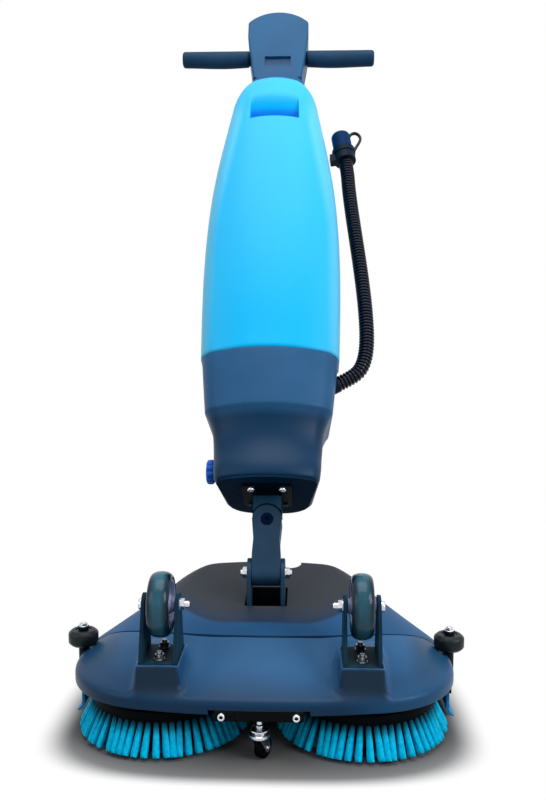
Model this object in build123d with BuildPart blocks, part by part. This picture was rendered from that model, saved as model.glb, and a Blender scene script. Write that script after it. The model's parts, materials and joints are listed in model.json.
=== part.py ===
"""Compact upright floor scrubber with two counter-rotating disc brushes.

Millimetres, +Z up. The origin lies on the floor, on the centre plane, straight under the tilt
hinge of the handle. The front of the machine faces -Y, and the right-hand side is +X.
"""
from build123d import *
from math import cos, radians, sin, tan
import os

os.makedirs("parts", exist_ok=True)

SIDES = {"left": -1, "right": 1}

# Clearances
RUN_GAP = 0.3        # between faces that turn past each other
FIT_GAP = 0.05       # radial, between a pin and its bore
SEAM_GAP = 0.6       # between two moulded covers
SHUT_GAP = 0.25      # round a button, lens or insert in its opening

# Brushes
BRUSH_X = 127.0
BRUSH_Y = -93.0
TUFT_LENGTH = 40.0
BLOCK_RADIUS = 104.0
BLOCK_HEIGHT = 16.0
TIP_RADIUS = 111.0
TUFT_RINGS = ((54, 98.0), (48, 84.0), (42, 70.0), (36, 56.0), (30, 42.0))
TUFT_ROOT = 5.4
TUFT_TIP_WIDE = 8.0
TUFT_TIP_DEEP = 8.0
TUFT_SINK = 1.0
BACKING = 3.0
HUB_RADIUS = 34.0
SHAFT_RADIUS = 8.0
SHAFT_SINK = 6.0
SHAFT_REACH = 12.0

# Chassis and covers
CHASSIS_BOTTOM = 66.0
CHASSIS_THICK = 6.0
WALL = 4.0
LIP_BOTTOM = 60.0
LIP_TOP = 76.0
DECK_FRONT = -205.0
DECK_HALF = 241.0
DECK_WIDEST = -80.0
CORNER_IN = 91.0         # front corner inside the widest part of the deck
FLANK_IN = 36.0
TAIL_IN = 113.0
DECK_CORNER = (DECK_HALF - CORNER_IN, -191.0)
DECK_FLANK = (DECK_HALF - FLANK_IN, 70.0)
DECK_TAIL = (DECK_HALF - TAIL_IN, 155.0)
DECK_BACK = 174.0
TAIL_ROUND = (70.0, 40.0)     # rear corners of the lip and of the flat top
CREST_FRONT = -96.0
CREST_HALF = 128.0
CREST_WIDEST = 20.0
CREST_SHOULDER_IN = 46.0  # front corner of the flat top inside its widest part
CREST_FLANK_IN = 4.0
CREST_TAIL_IN = 30.0
CREST_SHOULDER = (CREST_HALF - CREST_SHOULDER_IN, -67.0)
CREST_FLANK = (CREST_HALF - CREST_FLANK_IN, 90.0)
CREST_TAIL = (CREST_HALF - CREST_TAIL_IN, 148.0)
CREST_BACK = 162.0
CREST_HEIGHT = 127.5     # height of the flat top at its front edge
CREST_RISE = 4.2         # degrees that the flat top climbs towards the back
SEAM_FRONT = -105.0
SEAM_IN = 26.0           # end of the seam's arc inside the widest part of the deck
SEAM_END = (DECK_HALF - SEAM_IN, -30.0)
BOSS_RADIUS = 9.0
FRONT_BOSSES = ((176.0, -110.0), (62.0, -160.0))
REAR_BOSSES = ((150.0, 40.0), (96.0, 120.0))

# Slot for the joint and notch for the suction hose in the rear cover
SLOT_HALF = 29.0
SLOT_FRONT = -25.0
SLOT_BACK = 29.0
NOTCH_X = 28.0
NOTCH_WIDTH = 40.0
NOTCH_DEPTH = 52.0
NOTCH_PLAY = 1.0         # between the notch's wall and the chassis

# Transport wheels, their forks and the raised seats that carry them
WHEEL_X = 123.0
WHEEL_Y = -145.0
WHEEL_Z = 174.0
WHEEL_RADIUS = 40.0
WHEEL_WIDTH = 26.5
TREAD_DEPTH = 9.0
TREAD_EDGE = 1.0         # of the tyre's side that stays flat
RIM_DEPTH = 4.0
RIM_LIP = 3.0
RIM_SET = 1.0            # of the rim inside the tyre's face
WHEEL_HUB_RADIUS = 11.0
HUB_DRAFT = 2.0
AXLE_RADIUS = 5.0
FORK_WIDTH = 46.0
FORK_PLATE = 4.5
FORK_FRONT = -180.0
FORK_BACK = -115.0
FORK_EYE = 14.0
SEAT_TOP = 111.0
SEAT_WIDTH = 53.0
SEAT_FRONT = -186.0
SEAT_BACK = -96.0
POCKET_DEPTH = 4.0
POCKET_GAP = 1.2
FORK_BOLT_Y = (-163.0, -123.0)
NUT_FLATS = 15.0
NUT_HEIGHT = 7.0
BOLT_RADIUS = 4.0
AXLE_TAIL = 11.0

# Bumper rollers
ROLLER_OUT = 5.5         # axis of the roller outside the widest part of the deck
ROLLER_Y = -45.0
ROLLER_LIFT = 7.5        # over the lip
ROLLER_HEIGHT = 21.0
ROLLER_RADIUS = 20.0
ROLLER_ROUND = 4.0
ROLLER_PIN = 5.0
POST_RADIUS = 6.5
POST_HEAD = 4.0
POST_HEAD_RADIUS = 7.5
POST_FOOT_IN = 13.5      # foot of the post inside the widest part of the deck
POST_FOOT_RADIUS = 5.5

# Squeegee
BLADE_OUT = 2.0          # blade outside the widest part of the deck
BLADE_FRONT = -66.0
BLADE_BEND = 120.0
BLADE_BACK = 98.0
BLADE_THICK = 3.5
BLADE_HEIGHT = 40.0
BLADE_FLARE = 7.0
BLADE_FLARE_HEIGHT = 9.0
BLADE_SPACING = 16.0
INNER_BLADE_FRONT = -24.0
HOLDER_BOTTOM = 31.0
HOLDER_TOP = 52.0
HOLDER_WIDTH = 9.0
SQUEEGEE_POSTS = (-120.0, 0.0, 120.0)
SQUEEGEE_POST_RADIUS = 6.0
PORT_Y = 141.0
PORT_RADIUS = 17.0
PORT_BORE = 14.0
PORT_TOP = 111.0
PORT_BOX = 42.0
PORT_FLANGE = 4.0

# Front cross-member and swivel caster
BAR_HALF = 60.0
BAR_BOTTOM = 53.0
BAR_BACK = -176.0
BAR_SCALLOP = 3.0
LIP_BOLT_X = 44.0
LIP_BOLT_HEAD = 5.5
LIP_BOLT_RADIUS = 3.0
LIP_BOLT_REACH = 10.0
CASTER_Y = -190.0
CASTER_TURN = 62.0
CASTER_TRAIL = 8.0
CASTER_WHEEL_RADIUS = 13.0
CASTER_WHEEL_WIDTH = 11.0
CASTER_STEM = 4.0
RACE_RADIUS = 12.0
RACE_HEIGHT = 3.0
CASTER_PLATE = 1.8
CASTER_AXLE = 2.5
CASTER_TOP = 29.5
CASTER_NUT = 13.0        # across flats, on top of the race
CASTER_EYE = 5.0
CASTER_CHEEK = 18.0
CASTER_ROUND = 2.0
RACE_LIP = 0.5

# Joint between deck and upright
TILT_Z = 172.0
LEAN = 30.0
ARM_LENGTH = 71.5
ARM_HALF = 20.0
TILT_EYE = 18.0
TILT_PIN = 6.0
BRACKET_THICK = 6.0
BRACKET_EYE = 20.0
BRACKET_FOOT = 44.0
BRACKET_FLANGE = 5.0
FLANGE_HALF = 46.0
FLANGE_DEPTH = 34.0
PIN_HEAD_FLATS = 16.0
PIN_HEAD = 6.0
PIN_TAIL = 3.0
ROLL_EYE = 21.0
ROLL_PIN_RADIUS = 7.0
ROLL_HEAD_RADIUS = 9.0
ROLL_HEAD = 3.0
TONGUE_HALF = 8.0
TONGUE_INSET = 1.0
CHEEK = 12.0
EYE_GAP = 2.0
ARM_WAIST = 18.5
WAIST_LEVEL = -28.0
SHANK_LEVEL = -48.0

# Upright body, levels measured along the upright from the roll pin
PLATE_LEVEL = 41.0
PLATE_THICK = 3.0
PLATE_INSET = 1.0
FLANGE_THICK = 5.0
FLANGE_SIZE = (70.0, 90.0)
FLANGE_SHIFT = -9.0      # middle of the flange in front of the roll pin
BRACKET_BOLTS = ((-22.0, -45.0), (22.0, -45.0), (-25.0, 24.0), (25.0, 24.0))
BRACKET_BOLT = 3.0
BRACKET_BOLT_HEAD = 5.0
BRACKET_NUT = 4.5
SEAM_LEVEL = 244.0
SHELL = 4.0
TANK_REAR = 18.0
BOW = 0.27           # front bow of the body, as a share of its half width
REAR_BOW = 3.0
# level, half width in front, half width behind, front, rear, front corner, rear corner
BASE_LOWER = (
    (44.0, 73.5, 56.0, -81.5, 87.0, 24.0, 42.0),
    (62.0, 77.0, 63.5, -80.5, 88.5, 26.0, 41.0),
    (80.0, 78.2, 68.0, -74.0, 88.0, 28.0, 40.0),
    (98.0, 79.4, 71.0, -69.5, 87.0, 29.0, 40.0),
    (116.0, 81.0, 73.5, -69.0, 87.0, 30.0, 40.0),
    (134.0, 85.0, 78.0, -72.0, 88.0, 32.0, 40.0),
    (152.0, 93.0, 86.0, -78.0, 90.0, 35.0, 42.0),
)
BASE_UPPER = (
    (152.0, 95.5, 88.0, -80.0, 91.0, 36.0, 42.0),
    (198.0, 101.0, 92.0, -80.0, 92.0, 39.0, 42.0),
    (244.0, 106.5, 94.0, -79.5, 92.0, 42.0, 42.0),
)
# level, half width, front
TANK_LEVELS = (
    (244.0, 106.5, -79.5),
    (326.0, 110.3, -80.0),
    (408.0, 112.0, -80.0),
    (490.0, 110.5, -79.5),
    (572.0, 105.0, -78.0),
    (654.0, 95.5, -74.5),
    (736.0, 83.0, -69.0),
)
CROWN_STEPS = 5
CROWN_TOP = 813.0
CROWN_HALF = 26.0
CROWN_FRONT = -22.0
CROWN_TAPER = 0.16       # share of its rise that the crown goes on drawing in by, as the sides do
TANK_CORNER = 0.40       # front corner radius as a share of the half width
TANK_BACK_CORNER = 9.0
GRIP_LEVEL = 676.0
GRIP_WIDTH = 86.0
GRIP_HEIGHT = 58.0
GRIP_DEPTH = 24.0
GRIP_FRONT = -95.0       # a plane clear in front of the tank
GRIP_SLOPE = 20.0        # degrees that the back of the recess leans out towards its top
GRIP_ROUND = 12.0
OUTLET_RADIUS = 11.0
OUTLET_BORE = 8.0
OUTLET_V = -35.0
OUTLET_DEPTH = 12.0

# Back spine, console and handle
SPINE_GAP = 1.0
# level, half width in front, half width behind, rear
SPINE_LEVELS = (
    (244.0, 88.0, 78.0, 91.0),
    (364.0, 84.5, 72.5, 89.0),
    (484.0, 79.0, 67.0, 87.0),
    (604.0, 72.5, 62.0, 85.0),
    (724.0, 65.0, 57.0, 82.0),
    (844.0, 57.0, 51.0, 78.0),
)
SPINE_TOP = (866.0, 47.0, 44.0, 76.0)
SPINE_CORNER = 14.0
SPINE_REAR_CORNER = 26.0
CONSOLE_BOTTOM = SPINE_TOP[0]
CONSOLE_FOOT = 45.5
CONSOLE_WIDE = 58.0
CONSOLE_WIDE_LEVEL = 972.0
CONSOLE_SIDE = 36.0      # straight side over the widest level
CONSOLE_CREST = 27.0     # bow of the top over its corners
CONSOLE_CORNER_LEVEL = CONSOLE_WIDE_LEVEL + CONSOLE_SIDE
CONSOLE_TOP = CONSOLE_CORNER_LEVEL + CONSOLE_CREST
CONSOLE_FRONT = 20.0
CONSOLE_REAR = 88.0
CONSOLE_HEEL = 74.0
PANEL_SLOPE = 32.0
CONSOLE_CORNER = 9.0
CONSOLE_BEND = 60.0
CONSOLE_EDGE = 4.0
PANEL_THICK = 2.5
PANEL_SETBACK = 6.0
PANEL_WIDTH = 72.0
PANEL_LENGTH = 42.0
PANEL_SHIFT = 6.0
PANEL_WELL = 14.0
PANEL_LEDGE = 2.5
PANEL_RADIUS = 9.0
LENS_WIDTH = 44.0
LENS_LENGTH = 20.0
LENS_THICK = 1.6
BUTTON_RADIUS = 7.0
BUTTON_X = 26.0
BUTTON_ROW = 17.0
LENS_ROW = -3.0
BUTTON_PROUD = 2.4
BUTTON_TRAVEL = 1.5
BUTTON_SINK = 5.0
BUTTON_ROUND = 1.0
HANDLE_LEVEL = 933.0
HANDLE_V = 42.0
BAR_RADIUS = 12.5
BAR_WALL = 2.0
GRIP_RADIUS = 15.0
GRIP_SWELL = 1.0
HANDLE_HALF = 183.0
GRIP_INNER = 55.5
GRIP_END = 6.0
CONSOLE_SLOT = (46.0, 11.0, 2.5)
CONSOLE_SLOT_LEVEL = 903.0
CONSOLE_HEEL_LEVEL = 930.0
# inside of the console: half width, front, rear, bottom, top
CONSOLE_CAVITY = (37.0, 27.0, 68.0, 874.0, 1004.0)

# Inner pieces
BATTERY_SIZE = (112.0, 46.0, 210.0)
BATTERY_V = 53.0
FAN_RADIUS = 52.0
FAN_HEIGHT = 78.0
FAN_V = 32.0
MOTOR_RADIUS = 33.0
MOTOR_HEIGHT = 18.0
MOTOR_FLANGE = 42.0
MOTOR_FLANGE_HEIGHT = 5.0

# Drain hose and its fittings
HOSE_RADIUS = 12.0
HOSE_BORE = 8.5
HOSE_GROOVE = 1.6
HOSE_RIBS = 44
HOSE_V = 0.0
HOSE_RISE = 28.0         # degrees that the spigot points up from the side of the base
HOSE_START = (103.0, 219.4)
HOSE_STRAIGHT = 30.0
# route between the straight ends: sideways, then level along the upright
HOSE_ROUTE = (
    (141.5, 250.0), (147.5, 273.0), (149.8, 300.0), (149.0, 345.0), (146.0, 390.0), (141.5, 440.0),
    (136.0, 492.0), (130.5, 545.0), (126.5, 592.0),
)
HOSE_END = (121.0, 656.0)
CAP_LEAN = 8.0           # degrees that the upper end leans towards the tank
BEND_SHARE = 0.45
# start and end of a rib's flanks, as shares of the pitch
RIB_STEPS = (0.0, 0.15, 0.5, 0.65)
SPIGOT_LENGTH = 18.0
CUFF_RADIUS = 18.5
CUFF_RIM = 20.0
CUFF_RIM_HEIGHT = 9.0
CUFF_LENGTH = 24.0
CUFF_SINK = 8.0
CAP_RADIUS = 16.5
CAP_LENGTH = 36.0
CAP_ROUND = 7.0
CAP_PLUG = 8.0
CAP_PLUG_RADIUS = 10.0
CLIP_WIDTH = 16.0
CLIP_HEIGHT = 14.0
CLIP_ROOT = 86.0
STRAP_RADIUS = 2.0
# loop of the strap: sideways from the axis of the cuff, then up from the end of the hose
STRAP_LOOP = ((15.5, 44.0), (34.0, 34.0), (19.0, 10.0))

# Water valve on the left of the base
VALVE_LEVEL = 75.0
VALVE_V = -4.0
KNOB_RADIUS = 18.0
KNOB_THICK = 11.0
KNOB_OUTER = -94.0
KNOB_FLUTES = 10
FLUTE_RADIUS = 2.6
VALVE_STEM = 5.0
VALVE_BODY = 30.0
VALVE_FACE = -58.0
VALVE_DEPTH = 34.0

# Frames worked out from the sizes above
TILT = Vector(0, 0, TILT_Z)
ALONG = Vector(0, sin(radians(LEAN)), cos(radians(LEAN)))
AHEAD = Vector(0, -cos(radians(LEAN)), sin(radians(LEAN)))
BEHIND = AHEAD * -1
ROLL = TILT + ALONG * ARM_LENGTH
UPRIGHT = Plane(origin=ROLL, x_dir=(1, 0, 0), z_dir=ALONG)
FACING = Plane(origin=ROLL, x_dir=(1, 0, 0), z_dir=AHEAD)
SIDEWAYS = Plane(origin=ROLL, x_dir=BEHIND, z_dir=(1, 0, 0))
CHASSIS_TOP = CHASSIS_BOTTOM + CHASSIS_THICK
HOLLOW_EDGE = CHASSIS_TOP + RUN_GAP
BLOCK_TOP = TUFT_LENGTH + BLOCK_HEIGHT
FORK_FLOOR = SEAT_TOP - POCKET_DEPTH
ARM_GAP = ARM_HALF + RUN_GAP
BRACKET_OUTER = ARM_GAP + BRACKET_THICK
ROLLER_X = DECK_HALF + ROLLER_OUT
ROLLER_BOTTOM = LIP_TOP + ROLLER_LIFT
POST_FOOT_X = DECK_HALF - POST_FOOT_IN
POST_BOTTOM = HOLDER_TOP + 2 * RUN_GAP
BLADE_HALF = DECK_HALF + BLADE_OUT
LIP_BOLT_Z = LIP_BOTTOM


def upright_point(x, v, level):
    """A point of the upright: sideways, towards the back and along it from the roll pin."""
    return UPRIGHT.from_local_coords(Vector(x, v, level))


def save(piece, name):
    """Label a finished piece and write its file."""
    piece.label = name
    export_step(piece, f"parts/{name}.step")


def blend(low, high, share):
    """A point or number part of the way from one to the other."""
    if isinstance(low, tuple):
        return tuple(blend(a, b, share) for a, b in zip(low, high))
    return low + (high - low) * share


def deck_level(share, plane, inset=0.0):
    """Plan outline of the deck: 0 is the lip, 1 the edge of the flat top, drawn in by an inset."""
    front = blend(DECK_FRONT, CREST_FRONT, share)
    corner = blend(DECK_CORNER, CREST_SHOULDER, share)
    widest = blend((DECK_HALF, DECK_WIDEST), (CREST_HALF, CREST_WIDEST), share)
    flank = blend(DECK_FLANK, CREST_FLANK, share)
    tail = blend(DECK_TAIL, CREST_TAIL, share)
    back = blend(DECK_BACK, CREST_BACK, share)
    with BuildSketch(plane) as level:
        with BuildLine():
            nose = TangentArc((0, front), corner, tangent=(1, 0))
            cheek = TangentArc(nose @ 1, widest, tangent=nose % 1)
            side = TangentArc(cheek @ 1, flank, tangent=cheek % 1)
            hip = TangentArc(side @ 1, tail, tangent=side % 1)
            ThreePointArc(tail, (0, back), (-tail[0], tail[1]))
            mirror(Curve() + [nose, cheek, side, hip], about=Plane.YZ)
        make_face()
        if inset:
            offset(amount=-inset, kind=Kind.INTERSECTION)
        fillet(level.vertices().sort_by(Axis.Y)[-2:], blend(*TAIL_ROUND, share) - inset)
    return level.sketch


def crest_plane(drop=0.0):
    """Plane of the flat top, which climbs towards the back, lowered by a drop."""
    rise = radians(CREST_RISE)
    hinge = Vector(0, CREST_FRONT, CREST_HEIGHT - drop)
    plane = Plane(origin=hinge, x_dir=(1, 0, 0), z_dir=(0, -sin(rise), cos(rise)))
    return plane.shift_origin(plane.from_local_coords(Vector(0, -CREST_FRONT, 0)))


def body_level(level, half_front, half_rear, front, rear, front_round, rear_round, inset=0.0):
    """Cross-section of the upright: bowed front, straight sides and a gently bowed back."""
    with BuildSketch(UPRIGHT.offset(level)) as section:
        with BuildLine():
            bow = BOW * half_front
            nose = ThreePointArc((-half_front, front + bow), (0, front), (half_front, front + bow))
            tail = ThreePointArc((half_rear, rear - REAR_BOW), (0, rear), (-half_rear, rear - REAR_BOW))
            Line(nose @ 1, tail @ 0)
            Line(tail @ 1, nose @ 0)
        make_face()
        corners = section.vertices().sort_by(Axis.Y)
        fillet(corners[:2], front_round)
        fillet(section.vertices().sort_by(Axis.Y)[-2:], rear_round)
        if inset:
            offset(amount=-inset, kind=Kind.INTERSECTION)
    return section.sketch


def tank_level(level, half, front, inset=0.0):
    """Cross-section of the tank: bowed front and a flat back that stands against the spine."""
    with BuildSketch(UPRIGHT.offset(level)) as section:
        with BuildLine():
            bow = BOW * half
            nose = ThreePointArc((-half, front + bow), (0, front), (half, front + bow))
            Polyline(nose @ 1, (half, TANK_REAR), (-half, TANK_REAR), nose @ 0)
        make_face()
        fillet(section.vertices().sort_by(Axis.Y)[:2], TANK_CORNER * half)
        fillet(section.vertices().sort_by(Axis.Y)[-2:], TANK_BACK_CORNER)
        if inset:
            offset(amount=-inset, kind=Kind.INTERSECTION)
    return section.sketch


def crown_level(step, drop=0.0):
    """Level, half width and front of the tank on one step of its rounded crown, lowered by a drop."""
    low, half, front = TANK_LEVELS[-1]
    turn = radians(90 * step / CROWN_STEPS)
    drawn = 1 - cos(turn)
    level = blend(low, CROWN_TOP - drop, sin(turn))
    taper = CROWN_TAPER * (level - low)
    return level, blend(half - taper, CROWN_HALF, drawn), blend(front + taper / 2, CROWN_FRONT, drawn)


def spine_level(level, half_front, half_rear, rear, inset=0.0):
    """Cross-section of the back spine: a flat front against the tank and a rounded back."""
    front = TANK_REAR + SPINE_GAP
    with BuildSketch(UPRIGHT.offset(level)) as section:
        with BuildLine():
            Polyline(
                (half_rear, rear), (-half_rear, rear), (-half_front, front), (half_front, front), close=True
            )
        make_face()
        fillet(section.vertices().sort_by(Axis.Y)[:2], SPINE_CORNER)
        fillet(section.vertices().sort_by(Axis.Y)[-2:], SPINE_REAR_CORNER)
        if inset:
            offset(amount=-inset, kind=Kind.INTERSECTION)
    return section.sketch


# Deck chassis: the plate that carries the motors, the covers and the joint
with BuildPart() as deck_chassis:
    with BuildSketch(Plane.XY.offset(CHASSIS_BOTTOM)):
        add(deck_level(0, Plane.XY, WALL + RUN_GAP))
        with Locations((-BRUSH_X, BRUSH_Y), (BRUSH_X, BRUSH_Y)):
            Circle(SHAFT_RADIUS + FIT_GAP * 2, mode=Mode.SUBTRACT)
        with Locations((NOTCH_X, DECK_BACK)):
            SlotOverall(
                2 * NOTCH_DEPTH, NOTCH_WIDTH + 2 * (WALL + NOTCH_PLAY), rotation=90, mode=Mode.SUBTRACT
            )
    extrude(amount=CHASSIS_THICK)
save(deck_chassis.part, "deck_chassis")

# Outer dome and the hollow inside it, shared by both covers
with BuildPart() as dome:
    loft([deck_level(0, Plane.XY.offset(LIP_BOTTOM)), deck_level(0, Plane.XY.offset(LIP_TOP))])
    loft([deck_level(0, Plane.XY.offset(LIP_TOP)), deck_level(1, crest_plane())])

with BuildPart() as dome_hollow:
    with BuildSketch(Plane.XY.offset(LIP_BOTTOM)):
        add(deck_level(0, Plane.XY, WALL))
    extrude(amount=HOLLOW_EDGE - LIP_BOTTOM)
    loft(
        [
            deck_level(0, Plane.XY.offset(HOLLOW_EDGE), WALL),
            deck_level(1, crest_plane(WALL), WALL / 2),
        ]
    )


def front_side(gap=0.0):
    """Block that takes in all in front of the seam between the covers, grown by a gap."""
    far = DECK_HALF + SEAM_END[0]
    with BuildPart() as block:
        with BuildSketch(Plane.XY):
            with BuildLine():
                seam = ThreePointArc((-SEAM_END[0], SEAM_END[1]), (0, SEAM_FRONT), SEAM_END)
                Polyline(
                    seam @ 1, (far, SEAM_END[1]), (far, -far), (-far, -far), (-far, SEAM_END[1]), seam @ 0
                )
            make_face()
            if gap:
                offset(amount=gap)
        extrude(amount=CREST_HEIGHT * 2)
    return block.part


def cover_bosses(places):
    """Screw bosses under a cover, standing on the chassis and reaching up into its wall."""
    with BuildPart() as bosses:
        with BuildSketch(Plane.XY.offset(CHASSIS_TOP)):
            with Locations(*[(s * x, y) for s in SIDES.values() for x, y in places]):
                Circle(BOSS_RADIUS)
        extrude(amount=CREST_HEIGHT)
        add(dome.part, mode=Mode.INTERSECT)
    return bosses.part


# Front cover with the raised seats of the wheel forks
with BuildPart() as front_cover:
    add(dome.part)
    with BuildSketch(Plane.XY.offset(LIP_TOP - WALL)):
        with Locations(*[(s * WHEEL_X, (SEAT_FRONT + SEAT_BACK) / 2) for s in SIDES.values()]):
            RectangleRounded(SEAT_WIDTH, SEAT_BACK - SEAT_FRONT, WALL)
    extrude(amount=SEAT_TOP - LIP_TOP + WALL)
    add(dome_hollow.part, mode=Mode.SUBTRACT)
    with BuildSketch(Plane.XY.offset(LIP_BOTTOM)):
        with Locations(*[(s * WHEEL_X, (SEAT_FRONT + SEAT_BACK) / 2) for s in SIDES.values()]):
            Rectangle(SEAT_WIDTH - 2 * WALL, SEAT_BACK - SEAT_FRONT - 2 * WALL)
    extrude(amount=FORK_FLOOR - WALL - LIP_BOTTOM, mode=Mode.SUBTRACT)
    with BuildSketch(Plane.XY.offset(FORK_FLOOR)):
        with Locations(*[(s * WHEEL_X, (FORK_FRONT + FORK_BACK) / 2) for s in SIDES.values()]):
            Rectangle(FORK_WIDTH + 2 * POCKET_GAP, FORK_BACK - FORK_FRONT + 2 * POCKET_GAP)
    extrude(amount=CREST_HEIGHT, mode=Mode.SUBTRACT)
    with Locations(*[(s * WHEEL_X, y, FORK_FLOOR) for s in SIDES.values() for y in FORK_BOLT_Y]):
        Cylinder(BOLT_RADIUS + FIT_GAP, 4 * WALL, mode=Mode.SUBTRACT)
    with BuildSketch(Plane.XZ.offset(-DECK_FRONT + WALL)):
        with Locations((0, LIP_BOTTOM)):
            Rectangle(2 * (BAR_HALF + RUN_GAP), 2 * (CHASSIS_BOTTOM + RUN_GAP - LIP_BOTTOM))
    extrude(amount=-4 * WALL, mode=Mode.SUBTRACT)
    add(front_side(), mode=Mode.INTERSECT)
    add(cover_bosses(FRONT_BOSSES))
save(front_cover.part, "front_cover")

# Rear cover with the slot of the joint and the notch of the suction hose
with BuildPart() as rear_cover:
    add(dome.part)
    add(dome_hollow.part, mode=Mode.SUBTRACT)
    add(cover_bosses(REAR_BOSSES))
    add(front_side(SEAM_GAP), mode=Mode.SUBTRACT)
    with BuildSketch(Plane.XY.offset(CHASSIS_TOP)):
        with Locations((NOTCH_X, DECK_BACK)):
            SlotOverall(2 * NOTCH_DEPTH + 2 * WALL, NOTCH_WIDTH + 2 * WALL, rotation=90)
    extrude(amount=CREST_HEIGHT)
    add(dome.part, mode=Mode.INTERSECT)
    with BuildSketch(Plane.XY):
        with Locations((NOTCH_X, DECK_BACK)):
            SlotOverall(2 * NOTCH_DEPTH, NOTCH_WIDTH, rotation=90)
        with Locations((0, (SLOT_FRONT + SLOT_BACK) / 2)):
            RectangleRounded(2 * SLOT_HALF, SLOT_BACK - SLOT_FRONT, WALL)
    extrude(amount=2 * CREST_HEIGHT, mode=Mode.SUBTRACT)
save(rear_cover.part, "rear_cover")

# Transport wheels: pressed steel forks, axle bolts, hubs and tyres
for side, sign in SIDES.items():
    wheel_x = sign * WHEEL_X
    inside = FORK_WIDTH / 2 - FORK_PLATE
    with BuildPart() as wheel_fork:
        with BuildSketch(Plane.XY.offset(FORK_FLOOR)):
            with Locations((wheel_x, (FORK_FRONT + FORK_BACK) / 2)):
                Rectangle(FORK_WIDTH, FORK_BACK - FORK_FRONT)
            with Locations(*[(wheel_x, y) for y in FORK_BOLT_Y]):
                Circle(BOLT_RADIUS + FIT_GAP, mode=Mode.SUBTRACT)
        extrude(amount=FORK_PLATE)
        with BuildSketch(Plane.YZ.offset(wheel_x - FORK_WIDTH / 2), Plane.YZ.offset(wheel_x + inside)):
            with Locations(((FORK_FRONT + FORK_BACK) / 2, FORK_FLOOR + FORK_PLATE)):
                Rectangle(FORK_BACK - FORK_FRONT, 2 * FORK_PLATE)
            with Locations((WHEEL_Y, WHEEL_Z)):
                Circle(FORK_EYE)
            make_hull()
            with Locations((WHEEL_Y, WHEEL_Z)):
                Circle(AXLE_RADIUS + FIT_GAP, mode=Mode.SUBTRACT)
        extrude(amount=FORK_PLATE)
    save(wheel_fork.part, f"{side}_wheel_fork")

    outer_face = sign * FORK_WIDTH / 2
    with BuildPart() as wheel_axle:
        with BuildSketch(Plane.YZ.offset(wheel_x + outer_face)):
            with Locations((WHEEL_Y, WHEEL_Z)):
                Circle(FORK_EYE / 2)
        extrude(amount=sign * AXLE_RADIUS)
        with BuildSketch(Plane.YZ.offset(wheel_x + outer_face)):
            with Locations((WHEEL_Y, WHEEL_Z)):
                Circle(AXLE_RADIUS)
        extrude(amount=-sign * (FORK_WIDTH + AXLE_TAIL))
        with BuildSketch(Plane.YZ.offset(wheel_x - outer_face)):
            with Locations((WHEEL_Y, WHEEL_Z)):
                RegularPolygon(NUT_FLATS / 2, 6, major_radius=False)
        extrude(amount=-sign * NUT_HEIGHT)
    save(wheel_axle.part, f"{side}_wheel_axle")

    rim = WHEEL_RADIUS - TREAD_DEPTH
    spin_plane = Plane(origin=(wheel_x, WHEEL_Y, WHEEL_Z), x_dir=(0, 0, 1), z_dir=(0, -1, 0))
    with BuildPart() as wheel_hub:
        with BuildSketch(spin_plane):
            with BuildLine():
                Polyline(
                    (AXLE_RADIUS + FIT_GAP, 0),
                    (AXLE_RADIUS + FIT_GAP, inside - RUN_GAP),
                    (WHEEL_HUB_RADIUS, inside - RUN_GAP),
                    (WHEEL_HUB_RADIUS + HUB_DRAFT, WHEEL_WIDTH / 4),
                    (rim - RIM_DEPTH, WHEEL_WIDTH / 4),
                    (rim - RIM_LIP, WHEEL_WIDTH / 2 - RIM_SET),
                    (rim, WHEEL_WIDTH / 2 - RIM_SET),
                    (rim, 0),
                )
                mirror(about=Plane.XZ)
            make_face()
        revolve(axis=Axis((wheel_x, WHEEL_Y, WHEEL_Z), (1, 0, 0)))
    save(wheel_hub.part, f"{side}_wheel_hub")

    with BuildPart() as wheel_tyre:
        with BuildSketch(spin_plane) as tread:
            with Locations((rim + TREAD_DEPTH / 2, 0)):
                Rectangle(TREAD_DEPTH, WHEEL_WIDTH)
            fillet(tread.vertices().group_by(Axis.X)[-1], TREAD_DEPTH - TREAD_EDGE)
        revolve(axis=Axis((wheel_x, WHEEL_Y, WHEEL_Z), (1, 0, 0)))
    save(wheel_tyre.part, f"{side}_wheel_tyre")

# Bumper rollers on posts that reach under the lip to the chassis
with BuildPart() as roller_posts:
    for sign in SIDES.values():
        with BuildSketch(Plane.XY.offset(POST_BOTTOM)):
            with Locations((sign * ROLLER_X, ROLLER_Y)):
                Circle(POST_RADIUS)
            with Locations((sign * POST_FOOT_X, ROLLER_Y)):
                Circle(POST_FOOT_RADIUS)
            make_hull()
        extrude(amount=LIP_BOTTOM - RUN_GAP - POST_BOTTOM)
        with BuildSketch(Plane.XY.offset(POST_BOTTOM)):
            with Locations((sign * POST_FOOT_X, ROLLER_Y)):
                Circle(POST_FOOT_RADIUS)
        extrude(amount=CHASSIS_BOTTOM - POST_BOTTOM)
        with BuildSketch(Plane.XY.offset(POST_BOTTOM)):
            with Locations((sign * ROLLER_X, ROLLER_Y)):
                Circle(POST_RADIUS)
        extrude(amount=ROLLER_BOTTOM - RUN_GAP - POST_BOTTOM)
        with BuildSketch(Plane.XY.offset(POST_BOTTOM)):
            with Locations((sign * ROLLER_X, ROLLER_Y)):
                Circle(ROLLER_PIN)
        extrude(amount=ROLLER_BOTTOM + ROLLER_HEIGHT + RUN_GAP - POST_BOTTOM)
        with BuildSketch(Plane.XY.offset(ROLLER_BOTTOM + ROLLER_HEIGHT + RUN_GAP)):
            with Locations((sign * ROLLER_X, ROLLER_Y)):
                Circle(POST_HEAD_RADIUS)
        extrude(amount=POST_HEAD)
save(roller_posts.part, "roller_posts")
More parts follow.
